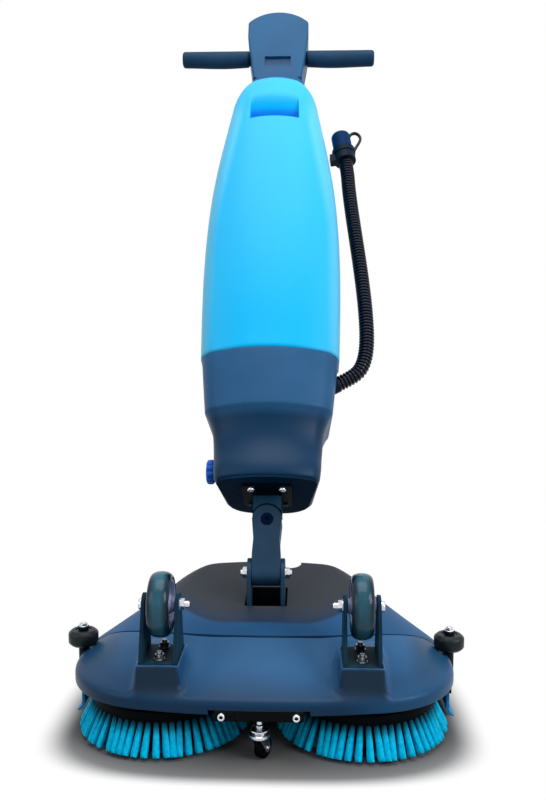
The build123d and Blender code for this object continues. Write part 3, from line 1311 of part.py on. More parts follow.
handle_centre = upright_point(0, HANDLE_V, HANDLE_LEVEL)
for side, sign in SIDES.items():
    bore = BAR_RADIUS + FIT_GAP
    with BuildPart() as grip:
        with BuildSketch(Plane(origin=handle_centre, x_dir=(sign, 0, 0), z_dir=AHEAD)) as section:
            with BuildLine():
                swell = ThreePointArc(
                    (GRIP_INNER, GRIP_RADIUS),
                    ((GRIP_INNER + HANDLE_HALF) / 2, GRIP_RADIUS + GRIP_SWELL),
                    (HANDLE_HALF, GRIP_RADIUS),
                )
                Polyline(
                    swell @ 1,
                    (HANDLE_HALF, 0),
                    (HANDLE_HALF - GRIP_END, 0),
                    (HANDLE_HALF - GRIP_END, bore),
                    (GRIP_INNER, bore),
                    swell @ 0,
                )
            make_face()
            fillet(section.vertices().sort_by_distance((HANDLE_HALF, GRIP_RADIUS))[0], GRIP_END / 2)
        revolve(axis=Axis(handle_centre, (1, 0, 0)))
    save(grip.part, f"{side}_grip")

# Drain hose: spigot on the base, ribbed tube, cuff clipped to the tank, cap and its strap
with BuildPart() as hose_spigot:
    with BuildSketch(spigot_root):
        Circle(HOSE_RADIUS)
        Circle(HOSE_BORE, mode=Mode.SUBTRACT)
    extrude(amount=SPIGOT_LENGTH)
save(hose_spigot.part, "hose_spigot")

CUFF_DIR = ALONG * cos(radians(CAP_LEAN)) - Vector(sin(radians(CAP_LEAN)), 0, 0)
CUFF_SIDE = ALONG * sin(radians(CAP_LEAN)) + Vector(cos(radians(CAP_LEAN)), 0, 0)
hose_end = upright_point(HOSE_END[0], HOSE_V, HOSE_END[1])
CUFF = Plane(origin=hose_end, x_dir=CUFF_SIDE, z_dir=CUFF_DIR)
route = [hose_start, hose_start + SPIGOT_DIR * HOSE_STRAIGHT]
route += [upright_point(x, HOSE_V, level) for x, level in HOSE_ROUTE]
route += [hose_end - CUFF_DIR * HOSE_STRAIGHT, hose_end]
runs = [(b - a).length for a, b in zip(route, route[1:])]
bends = []
for i in range(1, len(route) - 1):
    turn = radians((route[i] - route[i - 1]).get_angle(route[i + 1] - route[i]))
    reach = BEND_SHARE * min(runs[i - 1], runs[i])
    if i in (1, len(route) - 2):
        reach = HOSE_STRAIGHT - 2 * HOSE_RADIUS
    bends.append(reach / tan(turn / 2))
print("hose bend radii", [round(bend) for bend in bends])
with BuildLine() as hose_line:
    FilletPolyline(*route, radius=bends)
hose_path = hose_line.wire()
hose_length = hose_path.length
print("hose length", round(hose_length, 1))


def hose_ring(share, radius):
    """Circle square to the line of the hose, part of the way along it."""
    with BuildSketch(Plane(origin=hose_path @ share, x_dir=BEHIND, z_dir=hose_path % share)) as ring:
        Circle(radius)
    return ring.sketch


crests = [(rib + step) / HOSE_RIBS for rib in range(HOSE_RIBS) for step in RIB_STEPS]
heights = [HOSE_RADIUS - HOSE_GROOVE * down for rib in range(HOSE_RIBS) for down in (1, 0, 0, 1)]
rings = [hose_ring(share, radius) for share, radius in zip(crests, heights)]
rings.append(hose_ring(1, HOSE_RADIUS - HOSE_GROOVE))
with BuildPart() as hose_bore:
    with BuildSketch(Plane(origin=hose_path @ 0, x_dir=BEHIND, z_dir=hose_path % 0)):
        Circle(HOSE_BORE)
    sweep(path=hose_path)
with BuildPart() as drain_hose:
    loft(rings, ruled=True)
    add(hose_bore.part, mode=Mode.SUBTRACT)
print("hose volume", round(drain_hose.part.volume))
save(drain_hose.part, "drain_hose")

CUFF_TOP = CUFF_LENGTH - CUFF_SINK
with BuildPart() as cuff_block:
    with BuildSketch(CUFF.offset(-CUFF_SINK)):
        Circle(CUFF_RADIUS)
    extrude(amount=CUFF_LENGTH)
    with BuildSketch(CUFF.offset(CUFF_TOP)):
        Circle(CUFF_RIM)
    extrude(amount=-CUFF_RIM_HEIGHT)
with BuildPart() as hose_cuff:
    add(cuff_block.part)
    with BuildSketch(CUFF.offset(-CUFF_SINK)):
        Circle(HOSE_RADIUS + FIT_GAP)
    extrude(amount=CUFF_SINK, mode=Mode.SUBTRACT)
    with BuildSketch(CUFF):
        Circle(CAP_PLUG_RADIUS + FIT_GAP)
    extrude(amount=CUFF_LENGTH, mode=Mode.SUBTRACT)
save(hose_cuff.part, "hose_cuff")

with BuildPart() as hose_clip:
    with BuildSketch(CUFF.offset(-CUFF_SINK)):
        with Locations(((CLIP_ROOT - HOSE_END[0]) / 2, 0)):
            Rectangle(HOSE_END[0] - CLIP_ROOT, CLIP_WIDTH)
    extrude(amount=CLIP_HEIGHT)
    add(cuff_block.part, mode=Mode.SUBTRACT)
    add(tank.part, mode=Mode.SUBTRACT)
    add(tank_hollow.part, mode=Mode.SUBTRACT)
save(hose_clip.part, "hose_clip")

with BuildPart() as drain_cap:
    with BuildSketch(CUFF.offset(CUFF_TOP + RUN_GAP)):
        Circle(CAP_RADIUS)
    extrude(amount=CAP_LENGTH)
    fillet(drain_cap.edges().filter_by(GeomType.CIRCLE).sort_by(Axis(hose_end, CUFF_DIR))[-1], CAP_ROUND)
    with BuildSketch(CUFF.offset(CUFF_TOP + RUN_GAP)):
        Circle(CAP_PLUG_RADIUS)
    extrude(amount=-CAP_PLUG)
save(drain_cap.part, "drain_cap")

with BuildPart() as cap_strap:
    with BuildLine(Plane(origin=hose_end, x_dir=CUFF_SIDE, z_dir=AHEAD)) as loop:
        ThreePointArc(*STRAP_LOOP)
    with BuildSketch(Plane(origin=loop.line @ 0, x_dir=BEHIND, z_dir=loop.line % 0)):
        Circle(STRAP_RADIUS)
    sweep(path=loop.line)
    add(cuff_block.part, mode=Mode.SUBTRACT)
    add(drain_cap.part, mode=Mode.SUBTRACT)
save(cap_strap.part, "cap_strap")
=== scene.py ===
"""Looks of a compact upright floor scrubber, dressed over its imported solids.

Sizes are in millimetres until a mesh is made, and Blender works in metres. +Z is up, the front of
the machine faces -Y and its right-hand side is +X. The upright has a frame of its own: sideways,
towards its back, and along it from the roll pin.
"""
import json
import logging
import math
import sys
from dataclasses import dataclass, field
from enum import Enum
from typing import Any, Sequence

import bmesh
import bpy
import numpy as np
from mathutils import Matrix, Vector

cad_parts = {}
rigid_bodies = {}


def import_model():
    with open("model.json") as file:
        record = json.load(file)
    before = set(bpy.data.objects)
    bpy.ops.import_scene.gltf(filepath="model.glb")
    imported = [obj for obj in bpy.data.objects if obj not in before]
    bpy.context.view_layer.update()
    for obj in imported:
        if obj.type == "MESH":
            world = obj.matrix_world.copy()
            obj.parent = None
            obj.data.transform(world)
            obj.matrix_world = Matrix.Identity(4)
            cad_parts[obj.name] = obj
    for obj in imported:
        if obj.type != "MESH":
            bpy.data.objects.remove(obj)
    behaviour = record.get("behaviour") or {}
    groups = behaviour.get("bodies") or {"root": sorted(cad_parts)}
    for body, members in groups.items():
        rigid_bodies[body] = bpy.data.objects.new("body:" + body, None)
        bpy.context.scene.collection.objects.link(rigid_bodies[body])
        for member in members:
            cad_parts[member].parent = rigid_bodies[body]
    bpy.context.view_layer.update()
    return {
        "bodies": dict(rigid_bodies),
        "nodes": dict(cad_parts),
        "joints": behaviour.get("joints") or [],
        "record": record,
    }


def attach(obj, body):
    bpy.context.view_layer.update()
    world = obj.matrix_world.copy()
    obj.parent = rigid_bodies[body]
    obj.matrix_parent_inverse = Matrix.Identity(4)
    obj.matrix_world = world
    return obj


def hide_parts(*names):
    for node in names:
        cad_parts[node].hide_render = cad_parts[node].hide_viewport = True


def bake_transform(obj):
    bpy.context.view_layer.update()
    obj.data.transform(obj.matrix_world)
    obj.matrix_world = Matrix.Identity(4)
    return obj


LOG = logging.getLogger("floor_scrubber")
MM = 0.001
MERGE = 0.002 * MM
WHITE = (1, 1, 1, 1)
BLACK = (0, 0, 0, 1)
SIDEWAYS = (1, 0, 0)
FORWARDS = (0, -1, 0)
UP = (0, 0, 1)
DOWN = (0, 0, -1)
Points = np.ndarray
Pair = tuple[float, float]
Triple = tuple[float, float, float]
Four = tuple[float, float, float, float]
Row = tuple[float, ...]
Rows = tuple[Row, ...]
Span = tuple[float, float, int]
Colour = Triple
# A fastener's place: its foot, and where its head faces.
Place = tuple[Triple, Triple]
Object = bpy.types.Object
Node = bpy.types.Node


class Side(Enum):
    """The two sides of the machine, with the sign of their X."""

    LEFT = -1
    RIGHT = 1

    @property
    def word(self) -> str:
        """Name of the side as the solids spell it."""
        return self.name.lower()

    def at(self, x: float, y: float, z: float) -> Triple:
        """A place on this side, from its distance to the centre plane."""
        return (self.value * x, y, z)


class Join(Enum):
    """Ways in which one solid works on another."""

    CUT = "DIFFERENCE"
    KEEP = "INTERSECT"


class Edge(Enum):
    """Edges of the deck's dome, by their place in a pair."""

    LIP = 0
    CREST = 1


class Term:
    """A socket of a node tree that can be used in sums."""

    def __init__(self, graph: "Graph", socket: bpy.types.NodeSocket) -> None:
        """Hold the socket and the tree that it belongs to."""
        self.graph = graph
        self.socket = socket

    def _sum(self, operation: str, first: Any, second: Any) -> "Term":
        """Add a Math node that works on two values."""
        return self.graph.term("ShaderNodeMath", {"operation": operation}, {0: first, 1: second})

    def __add__(self, other: Any) -> "Term":
        """This value plus another."""
        return self._sum("ADD", self, other)

    __radd__ = __add__

    def __sub__(self, other: Any) -> "Term":
        """This value less another."""
        return self._sum("SUBTRACT", self, other)

    def __rsub__(self, other: Any) -> "Term":
        """Another value less this one."""
        return self._sum("SUBTRACT", other, self)

    def __mul__(self, other: Any) -> "Term":
        """This value times another."""
        return self._sum("MULTIPLY", self, other)

    __rmul__ = __mul__

    def __truediv__(self, other: Any) -> "Term":
        """This value divided by another."""
        return self._sum("DIVIDE", self, other)

    def __pow__(self, other: Any) -> "Term":
        """This value raised to a power."""
        return self._sum("POWER", self, other)

    def size(self) -> "Term":
        """This value without its sign."""
        return self._sum("ABSOLUTE", self, 0)

    def most(self, other: Any) -> "Term":
        """The larger of this value and another."""
        return self._sum("MAXIMUM", self, other)

    def rise(self, band: Pair) -> "Term":
        """A smooth step from 0 up to 1 over a band."""
        sockets = {"Value": self, "From Min": band[0], "From Max": band[1]}
        return self.graph.term("ShaderNodeMapRange", {"interpolation_type": "SMOOTHSTEP"}, sockets)

    def fall(self, band: Pair) -> "Term":
        """A smooth step from 1 down to 0 over a band."""
        return 1 - self.rise(band)


class Graph:
    """A node tree that is written as expressions."""

    def __init__(self, tree: bpy.types.NodeTree) -> None:
        """Hold the tree that the nodes go into."""
        self.tree = tree

    def add(self, kind: str, settings: dict | None = None, sockets: dict | None = None) -> Node:
        """Add one node.

        Args:
            kind: Blender's name of the node type.
            settings: properties of the node, set before its sockets.
            sockets: values or links of its inputs, by name or number.

        Returns:
            The new node.
        """
        node = self.tree.nodes.new(kind)
        for name, value in (settings or {}).items():
            setattr(node, name, value)
        self.fill(node, sockets or {})
        return node

    def fill(self, node: Node, sockets: dict) -> None:
        """Set or link inputs of a node, by name or number."""
        for key, value in sockets.items():
            if isinstance(value, Term):
                self.tree.links.new(value.socket, node.inputs[key])
            else:
                node.inputs[key].default_value = value

    def term(self, kind: str, settings: Any = None, sockets: Any = None, out: Any = 0) -> Term:
        """Add one node and take one of its outputs, by name or number."""
        return Term(self, self.add(kind, settings, sockets).outputs[out])

    def place(self) -> Term:
        """Object coordinates of a surface, in metres."""
        return self.term("ShaderNodeTexCoord", None, None, "Object")

    def noise(self, size: float, detail: float, stretch: Triple | None = None) -> Term:
        """Smooth noise over a surface.

        Args:
            size: size of its blotches in millimetres.
            detail: number of finer layers.
            stretch: how many times longer the blotches are along each axis.

        Returns:
            A value around a half.
        """
        place = self.place()
        if stretch:
            squeeze = tuple(1 / share for share in stretch)
            place = self.term("ShaderNodeMapping", None, {"Vector": place, "Scale": squeeze})
        sockets = {"Vector": place, "Scale": 1 / (size * MM), "Detail": detail}
        return self.term("ShaderNodeTexNoise", None, sockets)

    def mix(self, share: Term, low: Any, high: Any) -> Term:
        """A colour between two others."""
        return self.term("ShaderNodeMix", {"data_type": "RGBA"}, {0: share, 6: low, 7: high}, 2)


@dataclass(frozen=True)
class Lean:
    """Frame of the leaning upright, which starts at the roll pin."""

    angle: float = 30
    roll: Triple = (0, 35.75, 233.9208)

    @property
    def along(self) -> Points:
        """Direction up the upright."""
        turn = math.radians(self.angle)
        return np.array([0, math.sin(turn), math.cos(turn)])

    @property
    def behind(self) -> Points:
        """Direction from the front of the upright to its back."""
        return np.cross(self.along, SIDEWAYS)

    def at(self, x: Any, v: Any, level: Any) -> Points:
        """Points in the machine's frame, from those in the upright's."""
        x, v, level = (part.reshape(-1, 1) for part in np.broadcast_arrays(x, v, level))
        return np.array(self.roll) + x * np.array(SIDEWAYS) + v * self.behind + level * self.along


UPRIGHT = Lean()


class Spot:
    """A place on a surface, taken apart into millimetres."""

    def __init__(self, graph: Graph) -> None:
        """Take the three coordinates out of the surface's own."""
        sockets = {0: graph.place(), "Scale": 1 / MM}
        scaled = graph.term("ShaderNodeVectorMath", {"operation": "SCALE"}, sockets)
        node = graph.add("ShaderNodeSeparateXYZ", None, {0: scaled})
        self.x, self.y, self.z = (Term(graph, socket) for socket in node.outputs)

    def side(self) -> Term:
        """Distance from the centre plane."""
        return self.x.size()

    def _along(self, way: Points) -> Term:
        """Distance from the roll pin in a direction of the upright."""
        _, y, z = way.tolist()
        return self.y * y + self.z * z - float(way @ UPRIGHT.roll)

    def level(self) -> Term:
        """Distance along the upright."""
        return self._along(UPRIGHT.along)

    def depth(self) -> Term:
        """Distance towards the back of the upright."""
        return self._along(UPRIGHT.behind)


def linear(colour: Colour, gain: float = 1) -> Four:
    """A screen's colour of 0 to 255 as scene-linear light, times a gain."""
    shares = (value / 255 for value in colour)
    light = (s / 12.92 if s <= 0.04045 else ((s + 0.055) / 1.055) ** 2.4 for s in shares)
    return tuple(min(value * gain, 1) for value in light) + (1,)


@dataclass(frozen=True)
class Finish:
    """A surface finish: a colour with blotches, and a fine grain."""

    name: str
    colour: Colour
    roughness: float
    mottle: float
    mottle_size: float
    grain: float
    grain_size: float
    specular: float = 0.5
    metallic: float = 0
    mottle_band: Pair = (0.3, 0.7)
    rough_spread: float = 0.12
    broad_share: float = 0.7
    grain_height: float = 0.3

    def material(self) -> bpy.types.Material:
        """The finish as a material, made once."""
        label = f"{self.name}_look"
        made = bpy.data.materials.get(label)
        if made is None:
            made = bpy.data.materials.new(label)
            made.use_nodes = True
            made.diffuse_color = linear(self.colour)
            self.dress(Graph(made.node_tree), made.node_tree.nodes["Principled BSDF"])
        return made

    def cover(self, mesh: bpy.types.Mesh) -> None:
        """Make this a mesh's only material."""
        mesh.materials.clear()
        mesh.materials.append(self.material())

    def dress(self, graph: Graph, shader: Node) -> None:
        """Feed the shader with colour, roughness and grain."""
        broad = graph.noise(self.mottle_size, 3)
        fine = graph.noise(self.grain_size, 2)
        spread = broad * self.broad_share + fine * (1 - self.broad_share) - 0.5
        height = self.grain_height * self.grain_size * MM
        relief = {"Strength": self.grain, "Distance": height, "Height": fine}
        graph.fill(shader, {
            "Metallic": self.metallic,
            "Specular IOR Level": self.specular,
            "Base Color": self.tint(graph, broad),
            "Roughness": spread * self.rough_spread + self.roughness,
            "Normal": graph.term("ShaderNodeBump", None, relief),
        })

    def tint(self, graph: Graph, broad: Term) -> Term:
        """Colour over the surface, from its broad blotches."""
        dark, light = (linear(self.colour, 1 + sign * self.mottle) for sign in (-1, 1))
        return graph.mix(broad.rise(self.mottle_band), dark, light)


@dataclass(frozen=True)
class TankFinish(Finish):
    """Moulded tank: paler near its top and deeper blue low down and in the middle, with a painted
    highlight along its sides and painted shade in its finger recess.
    """

    deep: Colour = (4, 190, 255)
    pale: Colour = (56, 196, 255)
    # shade and lit: painted shade in the finger recess, lighter towards its top; rim: painted highlight
    # along the sides.
    shade: Colour = (0, 116, 226)
    lit: Colour = (0, 186, 255)
    rim: Colour = (104, 212, 255)
    water_line: Pair = (280, 580)
    water_waver: float = 60
    core_edge: Pair = (45, 115)
    core_waver: float = 20
    clouds: Pair = (0.35, 0.75)
    cloud_share: float = 0.25
    panel_half: float = 90
    panel_drawn: float = 34
    panel_taper: Pair = (430, 720)
    panel_edge: Pair = (-6, 10)
    rim_share: float = 0.85
    crown: Pair = (700, 770)
    crown_share: float = 0.7
    recess_wall: Pair = (-71, -62)
    recess_foot: Pair = (684, 688)
    recess_top: Pair = (722, 736)
    recess_side: Pair = (38.5, 42.5)
    recess_light: Pair = (702, 722)

    def tint(self, graph: Graph, broad: Term) -> Term:
        """Colour that deepens low down and in the middle, with a painted highlight along the sides and
        painted shade in the recess.
        """
        spot = Spot(graph)
        level, side = spot.level(), spot.side()
        # Deeper blue low down and in the middle, paler up the tank and towards its sides.
        water = (level + broad * self.water_waver).fall(self.water_line)
        core = (side + broad * self.core_waver).fall(self.core_edge)
        body = graph.mix(water * core, linear(self.pale), linear(self.deep))
        body = graph.mix(broad.rise(self.clouds) * self.cloud_share, body, linear(self.colour))
        # Painted highlight along the sides outside the front panel, fading under the crown.
        panel = self.panel_half - level.rise(self.panel_taper) * self.panel_drawn
        rim_highlight_mask = (side - panel).rise(self.panel_edge) * (1 - level.rise(self.crown) * self.crown_share)
        body = graph.mix(rim_highlight_mask * self.rim_share, body, linear(self.rim))
        # Painted shade in the finger recess, lighter towards its top.
        sunk = spot.depth().rise(self.recess_wall) * side.fall(self.recess_side)
        inside = sunk * level.fall(self.recess_top) * level.rise(self.recess_foot)
        recess = graph.mix(level.rise(self.recess_light), linear(self.shade), linear(self.lit))
        return graph.mix(inside, body, recess)


@dataclass(frozen=True)
class BaseFinish(Finish):
    """Moulded base with painted shade in its drawn-in lower half."""

    # low: painted shade of the drawn-in lower half, below the crease.
    low: Colour = (6, 50, 82)
    crease: Pair = (135, 158)
    crease_waver: float = 4

    def tint(self, graph: Graph, broad: Term) -> Term:
        """Colour with painted shade below the crease."""
        own = super().tint(graph, broad)
        level = Spot(graph).level() + broad * self.crease_waver
        return graph.mix(level.rise(self.crease), linear(self.low), own)


@dataclass(frozen=True)
class ConsoleFinish(Finish):
    """Moulded console with painted shade in the scoop under its face."""

    # shade: painted shade in the scoop under the face.
    shade: Colour = (8, 52, 92)
    scoop_rise: Pair = (886, 912)
    scoop_top: Pair = (917.2, 917.8)
    scoop_side: Pair = (23.5, 25.5)
    scoop_back: Pair = (30, 34)

    def tint(self, graph: Graph, broad: Term) -> Term:
        """Colour with painted shade that deepens up the scoop."""
        own = super().tint(graph, broad)
        spot = Spot(graph)
        level = spot.level()
        tall = level.rise(self.scoop_rise) * level.fall(self.scoop_top)
        inside = spot.side().fall(self.scoop_side) * spot.depth().fall(self.scoop_back)
        return graph.mix(tall * inside, own, linear(self.shade))


@dataclass(frozen=True)
class BracketFinish(Finish):
    """Casting with painted shade on its flange, which lies under the upright."""

    # flange: painted shade of the flange, which lies under the upright.
    flange: Colour = (5, 20, 32)
    boss_top: Pair = (33, 35.2)
    boss_side: Pair = (19.5, 20.5)

    def tint(self, graph: Graph, broad: Term) -> Term:
        """Colour with painted shade from the boss up to the flange."""
        own = super().tint(graph, broad)
        spot = Spot(graph)
        flange_shade_mask = spot.level().rise(self.boss_top).most(spot.side().rise(self.boss_side))
        return graph.mix(flange_shade_mask, own, linear(self.flange))


@dataclass(frozen=True)
class FrontFinish(Finish):
    """Front cover with painted shade along its lip, to its left, at its ends, beside and on its seats, and
    painted light to its right.
    """

    # lip, seat and end: colours of painted shade on the lip, in the hollows, on the seats' faces and at
    # the ends.
    lip: Colour = (18, 54, 86)
    seat: Colour = (28, 50, 72)
    end: Colour = (28, 70, 104)
    slope: Pair = (72, 106)
    slope_waver: float = 6
    left: Pair = (-230, -120)
    left_share: float = 0.35
    right: Pair = (90, 170)
    right_share: float = 0.55
    end_side: Pair = (180, 206)
    end_foot: Pair = (70, 90)
    end_share: float = 0.9
    hollow_edge: float = 96.5
    hollow_outer: Pair = (-4, 1)
    hollow_inner: Pair = (3, 17)
    hollow_back: Pair = (-150, -120)
    hollow_share: float = 0.5
    seat_middle: float = 123
    seat_side: Pair = (26.5, 31)
    seat_face: Pair = (-185.5, -183.5)
    seat_foot: Pair = (71, 83)

    def tint(self, graph: Graph, broad: Term) -> Term:
        """Colour with painted shade down the slope to the lip, at the ends, in the hollows and on the
        seats' faces, and painted light to the right.
        """
        own = super().tint(graph, broad)
        spot = Spot(graph)
        side = spot.side()
        # Painted shade down the slope to the lip and towards the left, painted light towards the right.
        across = spot.x.rise(self.left) * self.left_share + (1 - self.left_share)
        slope = (spot.z + broad * self.slope_waver).rise(self.slope) * across
        light = slope.most(spot.x.rise(self.right) * self.right_share)
        body = graph.mix(light, linear(self.lip), own)
        # Painted shade at both ends.
        end = side.rise(self.end_side) * spot.z.rise(self.end_foot)
        body = graph.mix(end * self.end_share, body, linear(self.end))
        # Painted shade in the hollows beside the seats.
        beside = self.hollow_edge - side
        hollow = beside.rise(self.hollow_outer) * beside.fall(self.hollow_inner)
        hollow = hollow * spot.y.fall(self.hollow_back)
        body = graph.mix(hollow * self.hollow_share, body, linear(self.lip))
        # Painted shade on the seats' faces.
        block = (side - self.seat_middle).size().fall(self.seat_side)
        face = block * spot.y.fall(self.seat_face) * spot.z.rise(self.seat_foot)
        return graph.mix(face, body, linear(self.seat))


@dataclass(frozen=True)
class CoverFinish(Finish):
    """Moulded rear cover with a warm painted dark reflection on its level top and painted shade in its
    slot.
    """

    # film and verge: a warm painted dark reflection on the level top behind the crest; slot: painted shade
    # inside the slot.
    film: Colour = (45, 52, 62)
    verge: Colour = (34, 52, 76)
    slot: Colour = (2, 6, 12)
    straight_half: float = 45
    bow: float = 0.011
    waver: float = 4
    crest: Pair = (-83, -72)
    verge_depth: Pair = (-75, -15)
    slot_side: Pair = (29.1, 29.4)
    slot_middle: float = 9.5
    slot_end: Pair = (34.6, 34.9)

    def tint(self, graph: Graph, broad: Term) -> Term:
        """Colour that turns to the painted dark reflection behind the crest, with painted shade in the
        slot.
        """
        own = super().tint(graph, broad)
        spot = Spot(graph)
        out = (spot.side() - self.straight_half).most(0)
        back = spot.y + broad * self.waver - out * out * self.bow
        # Painted dark reflection behind the crest, from the verge's colour to the film's.
        film = graph.mix(back.rise(self.verge_depth), linear(self.verge), linear(self.film))
        top = graph.mix(back.rise(self.crest), own, film)
        # Painted shade inside the joint's slot.
        inside = spot.side().fall(self.slot_side) * (spot.y - self.slot_middle).size().fall(self.slot_end)
        return graph.mix(inside, top, linear(self.slot))


@dataclass(frozen=True)
class WornSteel(Finish):
    """Plated or painted steel with fine scratches."""

    scratch: float = 0.2
    bare: Colour = (200, 205, 210)
    scratch_width: float = 1.6
    scratch_stretch: Triple = (1, 1, 14)
    scratch_band: Pair = (0.64, 0.72)

    def tint(self, graph: Graph, broad: Term) -> Term:
        """Colour with thin pale scratches across it."""
        own = super().tint(graph, broad)
        lines = graph.noise(self.scratch_width, 2, self.scratch_stretch).rise(self.scratch_band)
        return graph.mix(lines * self.scratch, own, linear(self.bare))


@dataclass(frozen=True)
class BristleFinish(Finish):
    """Nylon bristles with painted shade at their roots and on the inner rings."""

    # root: painted shade at the roots and over the inner rings.
    root: Colour = (0, 18, 38)
    centre: Pair = (127, -93)
    outer_rings: Pair = (86, 101)
    root_height: Pair = (26, 46)
    tuft_size: float = 5

    def tint(self, graph: Graph, broad: Term) -> Term:
        """Colour with painted shade at the roots and on the inner rings, paling down to the tips of the
        outer rings.
        """
        own = super().tint(graph, graph.noise(self.tuft_size, 1))
        spot = Spot(graph)
        across, ahead = spot.side() - self.centre[0], spot.y - self.centre[1]
        away = (across * across + ahead * ahead) ** 0.5
        # Painted shade everywhere except low on the outer rings.
        tip = spot.z.fall(self.root_height) * away.rise(self.outer_rings)
        return graph.mix(tip, linear(self.root), own)


@dataclass(frozen=True)
class BladeFinish(Finish):
    """Squeegee rubber: darker above, bright at its curled foot."""

    wet: Colour = (6, 40, 60)
    wet_height: Pair = (18, 42)

    def tint(self, graph: Graph, broad: Term) -> Term:
        """Colour that brightens downwards."""
        own = super().tint(graph, broad)
        return graph.mix(Spot(graph).z.rise(self.wet_height), own, linear(self.wet))


@dataclass(frozen=True)
class TyreFinish(Finish):
    """Glossy rubber with painted shade on its shoulders, darker than on its tread."""

    # shoulder: painted shade on both sides of the tread.
    shoulder: Colour = (5, 32, 46)
    middle: float = 123
    shoulder_side: Pair = (4.5, 12.5)
    waver: float = 2

    def tint(self, graph: Graph, broad: Term) -> Term:
        """Colour with painted shade towards both sides of the tread."""
        own = super().tint(graph, broad)
        off = (Spot(graph).side() - self.middle).size() + broad * self.waver
        return graph.mix(off.rise(self.shoulder_side), own, linear(self.shoulder))


# Each finish: name, colour, roughness, mottle and its size, grain and its size, specular level.
NAVY = Finish("navy_moulding", (26, 84, 128), 0.42, 0.08, 90, 0.1, 0.8, 0.12)
CONSOLE = ConsoleFinish("console_moulding", (26, 86, 130), 0.42, 0.08, 90, 0.1, 0.8, 0.12)
BASE_NAVY = BaseFinish("base_moulding", (38, 90, 134), 0.42, 0.08, 90, 0.1, 0.8, 0.14)
DECK_NAVY = FrontFinish("deck_moulding", (38, 92, 138), 0.38, 0.08, 120, 0.1, 0.8, 0.14)
DECK_REAR = CoverFinish("rear_moulding", (36, 84, 128), 0.5, 0.08, 120, 0.1, 0.8, 0.08)
TANK = TankFinish("tank_moulding", (30, 198, 255), 0.36, 0.05, 140, 0.1, 1.6, 0.1)
UNDER = Finish("under_moulding", (14, 46, 72), 0.7, 0.15, 40, 0.15, 0.8, 0.02)
DARK = Finish("dark_moulding", (6, 28, 46), 0.5, 0.15, 40, 0.15, 0.8, 0.08)
CAST = Finish("cast_joint", (26, 60, 86), 0.42, 0.12, 30, 0.22, 1.1, 0.22)
FLANGED = BracketFinish("flanged_casting", (34, 74, 102), 0.5, 0.12, 30, 0.22, 1.1, 0.015)
FORK = WornSteel("painted_fork", (30, 60, 78), 0.45, 0.12, 30, 0.1, 0.8, 0.015, scratch=0.02)
CHASSIS = WornSteel("painted_chassis", (3, 5, 8), 0.5, 0.2, 40, 0.15, 0.9, 0.06, scratch=0.02)
PLATED = WornSteel("plated_steel", (206, 210, 216), 0.24, 0.1, 6, 0.06, 0.5, metallic=1, scratch=0.25)
DULL_STEEL = WornSteel("dull_steel", (128, 134, 140), 0.34, 0.12, 6, 0.08, 0.5, metallic=1, scratch=0.1)
PIN = WornSteel("pin_steel", (5, 26, 54), 0.5, 0.12, 8, 0.1, 0.5, 0.02, scratch=0)
BLACK_STEEL = WornSteel("black_steel", (8, 13, 20), 0.42, 0.15, 10, 0.1, 0.5, 0.1, scratch=0.02)
IRON = Finish("motor_iron", (52, 54, 58), 0.5, 0.15, 20, 0.2, 0.8, metallic=0.5)
BATTERY = Finish("battery_case", (30, 33, 38), 0.5, 0.1, 40, 0.15, 0.9, 0.3)
BLOCK = Finish("brush_block", (1, 3, 6), 0.6, 0.2, 20, 0.2, 0.9, 0.04)
BRISTLE = BristleFinish("bristle_nylon", (2, 200, 255), 0.42, 0.15, 6, 0.3, 0.7, 0.05)
BLADE = BladeFinish("blade_rubber", (2, 140, 210), 0.5, 0.12, 25, 0.15, 0.8, 0.25)
TYRE = TyreFinish("tyre_rubber", (40, 92, 112), 0.18, 0.2, 24, 0.04, 0.7, 0.2)
HUB = Finish("wheel_hub", (140, 150, 188), 0.4, 0.08, 18, 0.1, 0.7, 0.4)
ROLLER = Finish("roller_rubber", (20, 30, 33), 0.4, 0.15, 14, 0.2, 0.8, 0.2)
GRIP = Finish("grip_rubber", (22, 58, 86), 0.55, 0.1, 30, 0.35, 0.7, 0.12)
HOSE = Finish("hose_rubber", (3, 16, 36), 0.24, 0.15, 20, 0.06, 0.7, 0.24)
CAP = Finish("cap_moulding", (8, 48, 92), 0.42, 0.12, 12, 0.1, 0.7, 0.04)
KNOB = Finish("valve_knob", (0, 104, 222), 0.36, 0.12, 10, 0.1, 0.7, 0.25)
LENS = Finish("display_lens", (10, 14, 18), 0.12, 0.05, 20, 0.02, 0.5)
BUTTON = Finish("console_button", (30, 120, 200), 0.45, 0.1, 6, 0.12, 0.5, 0.3)


def natural_spline(known: Rows, at: Points) -> Points:
    """Smooth rows of numbers between the levels where they are known.

    Args:
        known: rows of a rising level and the numbers there.
        at: levels to work out.

    Returns:
        One row for each level asked for.
    """
    known = np.asarray(known, float)
    t, y = known[:, 0], known[:, 1:]
    count = len(t)
    h = np.diff(t)
    system = np.eye(count)
    right = np.zeros_like(y)
    for i in range(1, count - 1):
        system[i, i - 1:i + 2] = h[i - 1], 2 * (h[i - 1] + h[i]), h[i]
        right[i] = 6 * ((y[i + 1] - y[i]) / h[i] - (y[i] - y[i - 1]) / h[i - 1])
    bend = np.linalg.solve(system, right)
    k = np.clip(np.searchsorted(t, at) - 1, 0, count - 2)
    a = ((t[k + 1] - at) / h[k])[:, None]
    b = 1 - a
    curve = (a ** 3 - a) * bend[k] + (b ** 3 - b) * bend[k + 1]
    return a * y[k] + b * y[k + 1] + curve * (h[k] ** 2 / 6)[:, None]


def ramp(values: Any, low: Any, high: Any) -> Points:
    """A smooth step that goes from 0 at low to 1 at high."""
    share = np.clip((values - low) / (high - low), 0, 1)
    return share * share * (3 - 2 * share)


